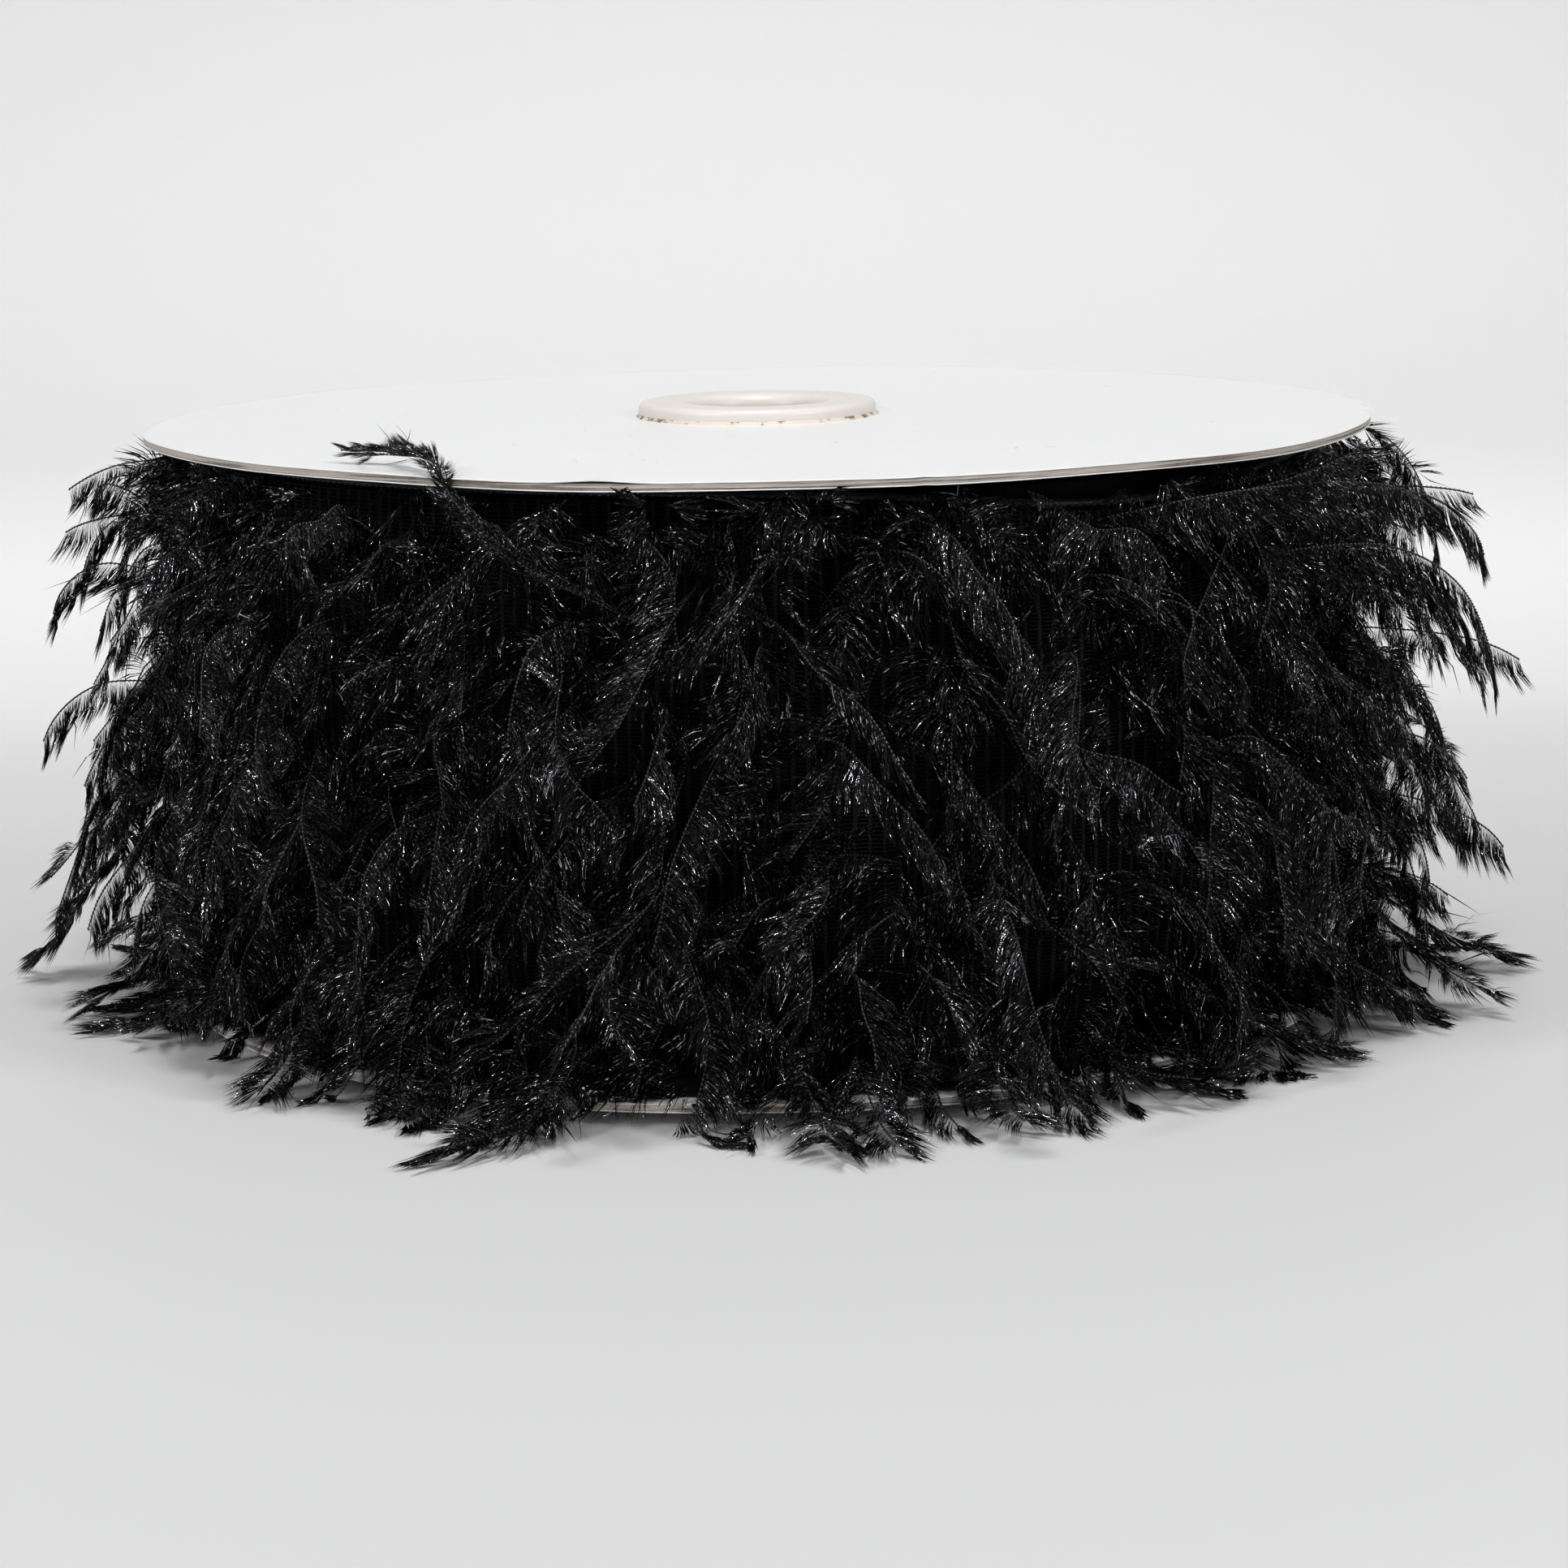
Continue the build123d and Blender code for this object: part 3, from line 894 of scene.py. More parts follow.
def outer_plume(rng, angle, row):
    height = row_height(rng, row)
    springs = rng.random() < 0.2
    length = rng.uniform(24, 56) * (0.75, 0.95, 1.0, 0.95, 0.82, 0.62)[row]
    rise = rng.uniform(10, 45) if springs else rng.normal(-15, 26)
    lean = front_lean(angle) * 1.3 + rng.normal(0, 52)
    return hang(
        rng, angle, height, length, rise, lean, either_side(rng),
        droop=rng.uniform(1.0, 2.0) if springs else rng.uniform(0.25, 1.4),
        layer=rng.uniform(2, 15), curl=rng.normal(0, 60), twist=rng.normal(0, 90),
    )


# The three kinds of short plume: the ranges of length and droop, the middle and scatter of the rise, the
# thickest layer below, and the scatters of lean, curl and twist.
INNER = ((12, 24), (0.4, 1.6), (0, 30), 5, 55, 80, 150)
HEADER = ((11, 19), (0.1, 0.9), (18, 16), 4, 60, 80, 150)
FOOT = ((9, 16), (0.8, 1.6), (0, 12), 2, 35, 60, 90)


def short_plume(rng, angle, height, kind):
    length, droop, rise, layer, lean, curl, twist = kind
    return hang(
        rng, angle, height, rng.uniform(*length), rng.normal(*rise), rng.normal(0, lean), either_side(rng),
        droop=rng.uniform(*droop), layer=rng.uniform(0, layer), curl=rng.normal(0, curl),
        twist=rng.normal(0, twist),
    )


OUTER_FRINGE = {
    "Filament": FINE_FILAMENTS, "Spacing": 0.078 * MM, "Length": 9.5 * MM, "Sweep": math.radians(45),
    "Lock": 1.4 * MM, "Pull": 0.35, "Spread": math.radians(34), "Sag": 0.22, "Material": satin.material,
    "Roof": ROOF_Z - 0.3 * MM, "Open Roof": ROOF_Z + 1.0 * MM,
}
INNER_FRINGE = OUTER_FRINGE | {
    "Filament": COARSE_FILAMENTS, "Spacing": 0.17 * MM, "Length": 8.5 * MM, "Sweep": math.radians(62),
    "Spread": math.radians(70),
}
STITCHES = {
    "Radius": 0.13 * MM, "Stitch": 0.8 * MM, "Slant": math.radians(48), "Bead Size": 0.78 * MM,
    "Bead": BEAD, "Material": spine_thread.material,
}


def plume_pieces(node, outer, inner, seed, fringe_values=OUTER_FRINGE):
    """The three pieces of a row: the fringe of its long plumes, their spines, and the short plumes under."""
    values = fringe_values | {"Seed": seed}
    fringe = run_tree(FRINGE, spine_object("chains", outer), f"{node}_fringe", values)
    spines = run_tree(SPINE, spine_object("chains", outer), f"{node}_spines", STITCHES)
    pieces = [fringe, spines]
    if len(inner):
        values = INNER_FRINGE | {"Seed": seed + 30}
        pieces.append(run_tree(FRINGE, spine_object("chains", inner), f"{node}_underfringe", values))
    return [hand_over(piece) for piece in pieces]


rng = np.random.default_rng(41)
for row in range(ROWS):
    outer = [outer_plume(rng, 360 * (k + rng.random()) / OUTER_IN_ROW, row) for k in range(OUTER_IN_ROW)]
    inner = []
    for k in range(INNER_IN_ROW):
        angle = 360 * (k + rng.random()) / INNER_IN_ROW
        inner.append(short_plume(rng, angle, row_height(rng, row), INNER))
    if row == 0:
        for k in range(HEADER_PLUMES):
            inner.append(short_plume(rng, rng.uniform(0, 360), rng.uniform(94, 104.5), HEADER))
    if row == ROWS - 1:
        for k in range(FOOT_PLUMES):
            inner.append(short_plume(rng, rng.uniform(0, 360), rng.uniform(4.5, 12), FOOT))
    row_pieces = plume_pieces(f"plume_row_{row + 1}", outer, inner, 10 + row)
    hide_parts(f"plume_row_{row + 1}")

# %% [markdown]
# ## Plumes laid one by one
#
# A few plumes catch the eye on this spool, so they are listed one by one rather than drawn by lot: the one
# that climbs over the edge of the upper card, the tips that splay over the floor, the ones that spring out at
# both sides. Each line below is a path in degrees round the spool, millimetres from the axis and
# millimetres above the floor, and the side that its fringe falls to.

# %% Lay the plumes that catch the eye
BEYOND_SPINE = 7 * MM  # the fringe reaches this far past the end of its spine


def lay(path, side, stand=None, beyond=BEYOND_SPINE):
    """Points and side vectors of a plume through a few given points."""
    stops = []
    for angle, radius, height in path:
        turn = math.radians(angle)
        stops.append(Vector((math.cos(turn) * radius, math.sin(turn) * radius, height)) * MM)
    ends = [stops[0] * 2 - stops[1]] + stops + [stops[-1] * 2 - stops[-2]]
    line = []
    for a, b, c, d in zip(ends, ends[1:], ends[2:], ends[3:]):
        for k in range(6):
            t = k / 6
            bend = (c - a) * t + (a * 2 - b * 5 + c * 4 - d) * t**2 + (b * 3 - a - c * 3 + d) * t**3
            line.append(b + bend * 0.5)
    line = [point for point in line if (point - stops[-1]).length > beyond]
    sides = []
    for k, point in enumerate(line):
        heading = (line[min(k + 1, len(line) - 1)] - line[max(k - 1, 0)]).normalized()
        radial = Vector((point.x, point.y, 0)).normalized()
        level = UP.cross(heading).normalized() * side
        if stand is None:
            sides.append(vane_side(heading, radial, side, 0.0))
        else:
            sides.append(level * math.cos(math.radians(stand)) + UP * math.sin(math.radians(stand)))
    return line, sides


FLOOR_PLUMES = [
    ([(184, 124, 30), (184, 132, 20), (183, 141, 8), (182, 149, 2)], 1),
    ([(197, 118, 18), (198, 126, 8), (198, 139, 2)], 1),
    ([(206, 116, 14), (207, 124, 5), (207, 135, 2)], -1),
    ([(228, 117, 16), (228, 127, 5), (229, 138, 2)], 1),
    ([(240, 118, 12), (241, 126, 4), (241.5, 134, 2)], -1),
    ([(254, 118, 14), (252.5, 128, 5), (247, 149, 2)], 1),
    ([(252, 117, 10), (252, 124, 4), (252, 132, 2)], 1),
    ([(272, 118, 12), (274, 129, 4), (275.5, 142, 2)], -1),
    ([(277, 118, 12), (278, 128, 4), (279, 140, 2)], 1),
    ([(288, 118, 14), (288, 127, 5), (289, 137, 2)], -1),
    ([(293, 119, 10), (293, 128, 4), (294, 136, 2)], 1),
    ([(297, 117, 14), (299, 123, 7), (306, 129, 4), (315, 116, 5)], 1),
    ([(308, 117, 18), (316, 127, 6), (323, 135, 2)], 1),
    ([(330, 119, 16), (332, 130, 6), (333, 141, 2)], -1),
    ([(336, 119, 24), (337, 134, 10), (338, 149, 2)], 1),
    ([(350, 120, 16), (351, 136, 6), (352, 152, 2)], -1),
]
SIDE_PLUMES = [
    ([(200, 114, 92), (201, 122, 100), (203, 129, 102), (206, 132, 95)], 1, -75),
    ([(197, 116, 84), (196, 127, 86), (197, 135, 81), (198, 138, 70)], 1, -80),
    ([(190, 115, 92), (191, 123, 93), (192, 129, 86), (192, 131, 74)], -1, -60),
    ([(192, 116, 62), (192, 128, 62), (193, 137, 56), (194, 142, 44)], 1, -75),
    ([(203, 117, 66), (205, 127, 64), (207, 133, 55), (209, 136, 44)], -1, -70),
    ([(194, 117, 42), (194, 127, 40), (195, 132, 32), (196, 134, 22)], -1, -65),
    ([(199, 116, 50), (201, 130, 46), (203, 137, 34), (198, 142, 14)], -1, -60),
    ([(301, 113, 99), (310, 126, 103), (322, 136, 102), (331, 141, 92)], -1, -80),
    ([(310, 115, 98), (319, 126, 101), (328, 136, 99), (335, 141, 90), (338, 142, 78)], -1, -80),
    ([(318, 117, 90), (327, 130, 90), (334, 138, 82), (339, 142, 68), (341, 143, 54)], -1, -85),
    ([(308, 115, 100), (313, 128, 104), (316, 136, 108), (319, 142, 113)], 1, None),
    ([(330, 116, 84), (336, 128, 84), (340, 135, 76), (342, 138, 62)], -1, -75),
    ([(343, 116, 70), (346, 131, 68), (347, 142, 65), (347, 153, 58)], 1, -70),
    ([(338, 117, 52), (342, 128, 50), (346, 135, 43), (348, 139, 34)], -1, -80),
    ([(342, 117, 40), (345, 130, 36), (347, 141, 30), (347, 148, 20)], -1, -75),
]
BACK_PLUMES = [
    ([(108, 112, 96), (107, 119, 101), (106.5, 121, 105), (106, 122, 107.2)], 1),
    ([(92, 112, 96), (91, 119, 101), (90.5, 121, 104), (90, 122, 106.6)], -1),
]
OVER_EDGE_PATHS = [
    [(262, 118, 84), (251, 121, 96), (245.5, 121, 106), (242, 114, 110.6)],
    [(260, 119, 86), (250, 122, 97), (245, 120.5, 107), (241, 113, 111.2)],
    [(261, 118, 85), (250.5, 121, 97), (245, 120, 107), (241, 112, 111)],
]
OVER_EDGE_PATHS[0] += [(234, 106, 110.4), (226, 111, 110.4)]
OVER_EDGE_PATHS[1] += [(233, 107, 111), (226, 112, 111)]
OVER_EDGE_PATHS[2] += [(233, 105, 110.8), (226, 110, 110.8)]
OVER_EDGE_PLUMES = list(zip(OVER_EDGE_PATHS, (1, -1, 1), (10, 10, 75)))
OPEN_FRINGE = OUTER_FRINGE | {"Spacing": 0.065 * MM, "Open Roof": 1.0}
FREE_FRINGE = OPEN_FRINGE | {
    "Roof": 1.0, "Length": 5 * MM, "Spacing": 0.045 * MM, "Sweep": math.radians(30),
    "Spread": math.radians(60), "Sag": 0.0, "Pull": 0.0,
}
SMALL_FRINGE = OPEN_FRINGE | {"Length": 3.5 * MM}
FLOOR_VANE_RISE = 18  # degrees that the vanes of a plume on the floor stand up, one to each side
flat_plumes = [lay(path, side, FLOOR_VANE_RISE, 4 * MM) for path, side in FLOOR_PLUMES]
flat_plumes += [lay(path, -side, FLOOR_VANE_RISE, 4 * MM) for path, side in FLOOR_PLUMES]
plume_pieces("floor_plumes", flat_plumes, [], 71, OPEN_FRINGE)
plume_pieces("side_plumes", [lay(*plume) for plume in SIDE_PLUMES], [], 72, OPEN_FRINGE)
plume_pieces("back_plumes", [lay(*plume) for plume in BACK_PLUMES], [], 74, SMALL_FRINGE)
over_edge = plume_pieces("over_edge", [lay(*plume) for plume in OVER_EDGE_PLUMES], [], 73, FREE_FRINGE)
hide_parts("over_edge_plume")

# %% [markdown]
# ## The net tape, the wound fluff and the edge cords
#
# The tape is 101.6 mm wide over its edge cords and about four and a half metres long, and it is wound in
# eleven turns. It is one open sheet here, with the spiral's own length and width as its UV map, so the knit
# keeps its real size. Near the front its upper edge has slipped down a little. The fluff that is pressed
# between the turns is a crumpled black band, since only its darkness shows.

# %% Net tape
TAPE_MIDDLE = 0.45 * MM
SLIP_DEPTH, SLIP_ANGLE, SLIP_WIDTH = 4.5 * MM, 305, 22
LAST_TURN = math.tau * (TURNS - 1)
NET_LOW, NET_HIGH = TAPE_LOW.z, TAPE_HIGH.z


def tape_radius(turned):
    """Radius of the tape's middle after an angle from its start, in radians."""
    whole, part = divmod(turned, math.tau)
    return wind_radius(part) - TURN_PITCH * (TURNS - 1 - whole) - TAPE_MIDDLE


def slip(turned):
    """How far the tape has slipped down on the last turn, near the front right."""
    past = math.degrees(turned) - 360 * (TURNS - 1)
    return SLIP_DEPTH * math.exp(-(((past - SLIP_ANGLE) / SLIP_WIDTH) ** 2)) if past > 0 else 0.0


def spiral_stations(fine=220, coarse=40):
    turns = [k / coarse for k in range((TURNS - 1) * coarse)]
    return [t * math.tau for t in turns + [TURNS - 1 + k / fine for k in range(fine)] + [TURNS - 1e-6]]


stations = spiral_stations()
NET_ROWS = 15
net_points, net_uvs, tape_length = [], [], 0.0
middles = [around(t) * tape_radius(t) for t in stations]
for number, (turned, middle) in enumerate(zip(stations, middles)):
    tape_length += (middle - middles[number - 1]).length if number else 0.0
    ripple = 0.5 * MM * math.sin(turned * 23) * (1 if turned > LAST_TURN else 0)
    for r in range(NET_ROWS):
        share = r / (NET_ROWS - 1)
        bow = slip(turned) * math.sin(share * math.pi) * 0.8 + ripple * math.sin(share * 9)
        height = NET_LOW + (NET_HIGH - NET_LOW) * share - slip(turned) * share**2
        net_points.append(middle * (1 + bow / middle.length) + UP * height)
        net_uvs.append((tape_length, (NET_HIGH - NET_LOW) * share))
net_tape = mesh_object("net_tape_knit", net_points, sheet_faces(len(stations), NET_ROWS))
net_layer = net_tape.data.uv_layers.new(name="run_and_width")
for loop in net_tape.data.loops:
    net_layer.data[loop.index].uv = net_uvs[loop.vertex_index]
net_tape.data.shade_smooth()
hand_over(net_tape, "net_tape", knitted_net)

# %% Wound fluff: a crumpled band in the gap between each turn and the next
FLUFF_ROWS, LAST_TURN_STATIONS = 19, 60
fluff_rng = np.random.default_rng(5)
fluff_points = []
fluff_stations = [t for t in stations if t < LAST_TURN]
fluff_stations += [LAST_TURN + k / LAST_TURN_STATIONS * math.tau for k in range(LAST_TURN_STATIONS)]
for turned in fluff_stations:
    behind = -2.4 * MM if turned > LAST_TURN else TURN_PITCH * 0.5
    for r in range(FLUFF_ROWS):
        height = CARD_FLOOR_Z + 2.0 * MM + (ROOF_Z - CARD_FLOOR_Z - 4.5 * MM) * r / (FLUFF_ROWS - 1)
        radius = tape_radius(turned) + behind + fluff_rng.normal(0, 0.8 * MM)
        fluff_points.append(Vector((math.cos(turned) * radius, math.sin(turned) * radius, height)))
fluff = mesh_object("wound_fluff", fluff_points, sheet_faces(len(fluff_stations), FLUFF_ROWS))
fluff.data.shade_smooth()
hand_over(fluff, "wound_plumes", packed_fluff)
print("wound fluff faces:", len(fluff.data.polygons))

# %% Foot fluff: what has worked out over the lower card, round the foot of the wind, and painted shade on the card's ledge out to near its rim
foot_points = []
FOOT_STEPS, FOOT_RINGS = 240, 7
for ring in range(FOOT_RINGS):
    for step in range(FOOT_STEPS):
        turned = math.tau * step / FOOT_STEPS
        inner = wind_radius(turned) - 3 * MM
        # Painted shade: the black sheet runs out to 3 mm inside the card's rim, where the card's ledge lies
        # in shade under the plumes.
        outer = DISC_RADIUS - 3.0 * MM + fluff_rng.normal(0, 0.9 * MM)
        share = ring / (FOOT_RINGS - 1)
        radius = inner + (outer - inner) * share
        crumple = abs(fluff_rng.normal(0, 0.5 * MM)) * (share < 1)
        height = CARD_FLOOR_Z + (0.5 + 5.5 * (1 - share) ** 2) * MM + crumple
        foot_points.append(Vector((math.cos(turned) * radius, math.sin(turned) * radius, height)))
foot_fluff = mesh_object("foot_fluff", foot_points, sheet_faces(FOOT_RINGS, FOOT_STEPS, closed=True))
foot_fluff.data.flip_normals()
foot_fluff.data.shade_smooth()
hand_over(foot_fluff, None, packed_fluff)
print("foot fluff faces:", len(foot_fluff.data.polygons))

# %% Edge cords: the same stitched cord as a spine, at five times the size
CORD_STITCHES = STITCHES | {
    "Radius": 0.7 * MM, "Stitch": 1.5 * MM, "Slant": math.radians(40), "Bead Size": 2.3 * MM,
}


def edge_cord(node, height, follows_slip):
    line = []
    for turned, middle in zip(stations, middles):
        line.append(middle + UP * (height - (slip(turned) if follows_slip else 0.0)))
    chain = spine_object("chains", [(line, [UP] * len(line))])
    hand_over(run_tree(SPINE, chain, f"{node}_stitched", CORD_STITCHES), node)


edge_cord("top_edge_cord", NET_HIGH + CORD_SIZE / 2, True)
edge_cord("bottom_edge_cord", NET_LOW - CORD_SIZE / 2, False)

for template in (FINE_FILAMENTS, COARSE_FILAMENTS, BEAD):
    bpy.data.objects.remove(template)

# %% [markdown]
# ## The card discs
#
# Each flange is a die-cut disc of greyboard with white paper glued on both faces. Die cutting leaves the
# pulp core a little behind the papers and slightly fuzzy, and card this large is never quite flat at its
# rim. A closed cross-section is turned round the axis, one for each ply, and all three plies share one
# wave, so that they stay in contact.

# %% Turn the plies
TUBE_WALL, CORE_SETBACK = 3 * MM, 0.15 * MM
HOLE_RADIUS = TUBE_RADIUS - TUBE_WALL
RIM_STEPS = 300
NICK_ANGLE, PEEL_ANGLE = 283, 257
FLANGES = (("top", 0.6, 0.5 * MM), ("bottom", 2.1, 0.0))  # the phase of the wave and the lift of the paper


def bell(angle, centre, width):
    """1 at the centre angle, falling to 0 a few widths away. All in degrees."""
    return math.exp(-(((angle - centre + 180) % 360 - 180) / width) ** 2)


def rim_wave(angle, radius, phase):
    """How far a disc's card is warped up or down, growing towards its rim."""
    turn = math.radians(angle)
    wave = 0.5 * math.sin(2 * turn + phase) + 0.35 * math.sin(5 * turn + 2 * phase)
    wave += 0.2 * math.sin(11 * turn)
    return 0.55 * MM * wave * (radius / DISC_RADIUS) ** 4


def ply(name, node, finish, phase, setback, jitter, seed, peel=0.0):
    """One ply between the heights of its node, with a softened cut edge."""
    low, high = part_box(node)[0].z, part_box(node)[1].z
    thick = high - low
    cut = min(0.25 * MM, thick / 3)
    edge = DISC_RADIUS - setback
    flat_radii = [HOLE_RADIUS, 0.03, 0.05, 0.075, 0.095, 0.108, edge - 2 * MM]
    section = [(r, low) for r in flat_radii] + [(edge - cut, low), (edge, low + cut)]
    section += [(edge, low + thick / 2), (edge, high - cut), (edge - cut, high)]
    section += [(r, high) for r in reversed(flat_radii)]
    rng = np.random.default_rng(seed)
    points = []
    for radius, height in section:
        at_edge = radius > edge - 1 * MM
        for step in range(RIM_STEPS):
            angle = 360 * step / RIM_STEPS
            nick = 0.9 * MM * bell(angle, NICK_ANGLE, 0.5) if at_edge else 0.0
            rough = rng.normal(0, jitter) if at_edge else 0.0
            lifted = peel * bell(angle, PEEL_ANGLE, 3.0) * max(0.0, (radius - edge + 9 * MM) / (9 * MM)) ** 2
            far = radius - nick + rough
            turn = math.radians(angle)
            z = height + rim_wave(angle, radius, phase) + lifted + (rough * 0.3 if at_edge else 0.0)
            points.append((far * math.cos(turn), far * math.sin(turn), z))
    made = mesh_object(name, points, sheet_faces(len(section), RIM_STEPS, closed=True, looped=True))
    made.data.shade_smooth()
    made.data.set_sharp_from_angle(angle=math.radians(50))
    hand_over(made, node, finish)


for flange, phase, lift in FLANGES:
    outside, board, inside = (f"{flange}_flange_{part}" for part in ("face_paper", "board", "liner"))
    ply(f"{outside}_sheet", outside, coated_card, phase, 0.0, 0.02 * MM, 31, lift)
    ply(f"{flange}_flange_core", board, greyboard, phase, CORE_SETBACK, 0.07 * MM, 32)
    ply(f"{inside}_sheet", inside, coated_card, phase, 0.02 * MM, 0.02 * MM, 33)
print(f"hole radius {HOLE_RADIUS:.4f}, rim steps {RIM_STEPS}")

# %% [markdown]
# ## Pulp fibres on the cut edge
#
# Greyboard frays where the die leaves it. Short fibres stand out of the core all round the rim. The tree
# takes the rim as a curve, drops points along it and stands a fibre on each, turned at random.

# %% Fray the rims
FRAY_INPUTS = {"Fibre": "object", "Count": "count", "Seed": "count", "Length": "number"}
FRAY_INPUTS |= {"Material": "material"}


def fray_tree():
    tree = Tree("fray", FRAY_INPUTS)
    seed = tree.input("Seed")
    curve, dots, tangent = tree.walk("COUNT", "Count", tree.input("Count"))
    up = tree.xyz(z=1.0)
    outward = tangent.vector("CROSS_PRODUCT", up)
    slant = tree.random(-1.3, 1.3, seed)
    heading = outward * slant.math("COSINE") + tangent * slant.math("SINE")
    heading = heading + up * tree.random(-0.5, 0.5, seed + 1.0)
    shift = tree.xyz(z=tree.random(-0.45 * MM, 0.45 * MM, seed + 2.0))
    dots = tree.node("GeometryNodeSetPosition", {}, {"Geometry": dots, "Offset": shift})
    pick = tree.random(0.0, LAST_KIND, seed + 3.0).math("FLOOR")
    reach = tree.input("Length") * tree.random(0.3, 1.0, seed + 4.0)
    tree.finish(tree.stand(dots, "Fibre", heading, tangent, reach, pick), tree.input("Material"))
    return tree


FRAY = fray_tree()
FIBRES = filament_templates("pulp_fibres", 0.07)
FRAY_VALUES = {"Fibre": FIBRES, "Count": 420, "Length": 0.9 * MM, "Seed": 3, "Material": greyboard.material}
RING_STEPS = 180
for flange, phase, lift in FLANGES:
    core_low, core_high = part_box(f"{flange}_flange_board")
    ring, radius = [], DISC_RADIUS - CORE_SETBACK
    for step in range(RING_STEPS + 1):
        angle = 360 // RING_STEPS * step
        turn = math.radians(angle)
        height = (core_low.z + core_high.z) / 2 + rim_wave(angle, radius, phase)
        ring.append((radius * math.cos(turn), radius * math.sin(turn), height))
    rim = mesh_object("rim", ring, [], [(k, k + 1) for k in range(RING_STEPS)])
    hand_over(run_tree(FRAY, rim, f"{flange}_flange_fray", FRAY_VALUES))
bpy.data.objects.remove(FIBRES)

# %% [markdown]
# ## The moulded hubs
#
# Each hub is one injection moulding: a lip that lies on the card, a sleeve inside the tube and a collar
# round the rod, joined by six ribs. The mould leaves soft corners, most of all where the rod goes in. The
# whole section is one closed outline, turned round the axis, so that no corner needs a modifier.

# %% Turn the hubs
LIP_RADIUS, LIP_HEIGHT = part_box("top_hub")[1].x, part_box("top_hub")[1].z - TOP_FACE_Z
HUB_DEPTH = TOP_FACE_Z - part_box("top_hub")[0].z
BORE_RADIUS, COLLAR_WALL = 12.7 * MM, 1.6 * MM
SLEEVE_RADIUS, SLEEVE_WALL = 18.9 * MM, 1.7 * MM
HUB_STEPS, RIBS = 96, 6


def rounded(centre, radius, first, last, steps=5):
    """Points on an arc in the section, from one angle to another in degrees."""
    turns = [math.radians(first + (last - first) * k / steps) for k in range(steps + 1)]
    return [(centre[0] + radius * math.cos(t), centre[1] + radius * math.sin(t)) for t in turns]


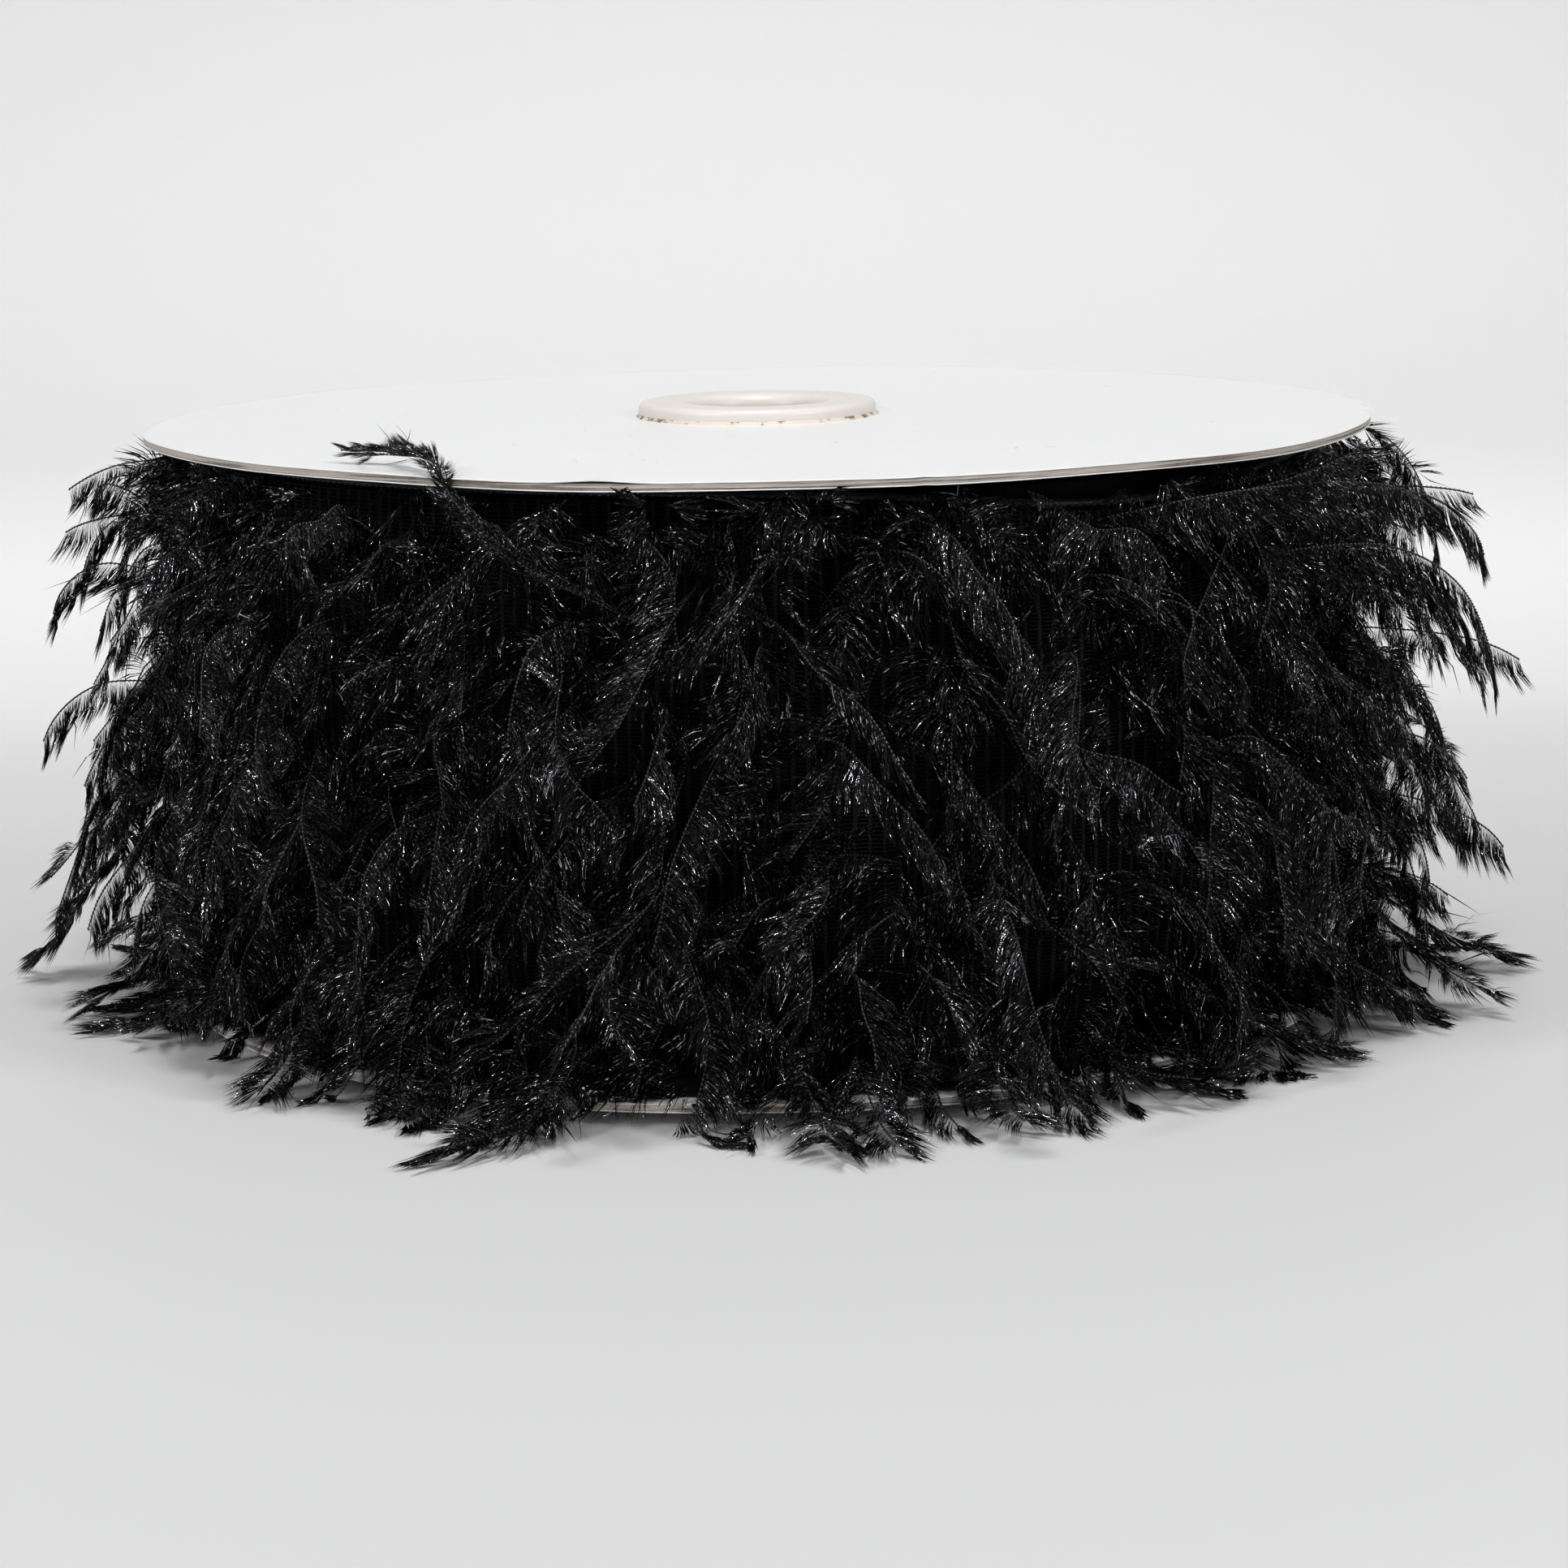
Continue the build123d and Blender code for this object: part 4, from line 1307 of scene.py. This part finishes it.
def hub(name, node, face, way):
    """A hub on the card face at height face. way is 1 for up and -1 for down."""
    lip_round, mouth_round = 1.2 * MM, 2.2 * MM
    collar, inside = BORE_RADIUS + COLLAR_WALL, SLEEVE_RADIUS - SLEEVE_WALL
    outline = [(BORE_RADIUS, -HUB_DEPTH), (collar, -HUB_DEPTH), (collar, 0), (inside, 0)]
    outline += [(inside, -HUB_DEPTH), (SLEEVE_RADIUS, -HUB_DEPTH), (SLEEVE_RADIUS, 0), (LIP_RADIUS, 0)]
    outline += rounded((LIP_RADIUS - lip_round, LIP_HEIGHT - lip_round), lip_round, 0, 90)
    outline += rounded((BORE_RADIUS + mouth_round, LIP_HEIGHT - mouth_round), mouth_round, 90, 180)
    points = []
    for radius, height in outline:
        for step in range(HUB_STEPS):
            turn = math.tau * step / HUB_STEPS
            points.append((radius * math.cos(turn), radius * math.sin(turn), face + way * height))
    faces = sheet_faces(len(outline), HUB_STEPS, closed=True, looped=True)
    for rib in range(RIBS):
        turn = math.tau * rib / RIBS
        out, side = around(turn), Vector((-math.sin(turn), math.cos(turn), 0))
        start = len(points)
        for height in (-HUB_DEPTH, -0.3 * MM):
            for far, across in ((1, -1), (1, 1), (-1, 1), (-1, -1)):
                reach = (BORE_RADIUS + COLLAR_WALL / 2 + SLEEVE_RADIUS - SLEEVE_WALL / 2) / 2 + far * 2.1 * MM
                points.append(out * reach + side * across * 0.75 * MM + UP * (face + way * height))
        box = [(3, 2, 1, 0), (4, 5, 6, 7), (0, 1, 5, 4), (1, 2, 6, 5), (2, 3, 7, 6), (3, 0, 4, 7)]
        faces += [tuple(start + corner for corner in side_face) for side_face in box]
    if way < 0:
        faces = [tuple(reversed(face_corners)) for face_corners in faces]
    made = mesh_object(name, points, faces)
    made.data.shade_smooth()
    made.data.set_sharp_from_angle(angle=math.radians(45))
    hand_over(made, node, hub_plastic)


hub("top_hub_moulding", "top_hub", TOP_FACE_Z, 1)
hub("bottom_hub_moulding", "bottom_hub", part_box("bottom_flange_face_paper")[0].z, -1)
print(f"hub lip {LIP_RADIUS:.4f} by {LIP_HEIGHT:.4f}, depth {HUB_DEPTH:.4f}")

# %% [markdown]
# ## Lint on the card
#
# A feather trim sheds, and white card shows every fibre. A few short curved strips lie on the upper disc,
# each arched a little so that it casts a fine shadow. There are so few that plain Python is shorter than a
# tree.

# %% Lint that lies on the upper card: angle, millimetres from the axis, length and course in degrees
LINT = [(262, 47, 2.6, 15), (283, 62, 1.6, 80), (232, 70, 1.1, 140), (300, 88, 1.4, 40), (250, 90, 0.9, 100)]
lint_points, lint_faces = [], []
for angle, radius, length, heading in LINT:
    course = math.radians(heading)
    centre = around(math.radians(angle)) * radius * MM + UP * (TOP_FACE_Z + 0.06 * MM)
    for k in range(7):
        course += 0.12
        centre += around(course) * length * MM / 6
        across = Vector((-math.sin(course), math.cos(course), 0)) * 0.05 * MM
        lift = UP * 0.25 * MM * math.sin(math.pi * k / 6)
        lint_points += [centre + across + lift, centre - across + lift]
    start = len(lint_points) - 14
    lint_faces += [(start + 2 * k + 1, start + 2 * k + 3, start + 2 * k + 2, start + 2 * k) for k in range(6)]
lint = mesh_object("card_lint", lint_points, lint_faces)
hand_over(lint, None, greyboard)
print("lint fibres:", len(LINT))

# %% [markdown]
# ## Pieces that keep their design shape
#
# The glue beads, the tube and the sticky tape are right as they are in the design, and their meshes are
# left alone. They only get their finishes.

# %% Plain finishes on the nodes whose shape is right
NODE_FINISHES = {
    "top_glue_bead": hot_glue, "bottom_glue_bead": hot_glue,
    "core_tube": tube_board, "start_tape": sticky_tape,
}
for node, finish in NODE_FINISHES.items():
    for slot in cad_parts[node].material_slots:
        slot.material = finish.material
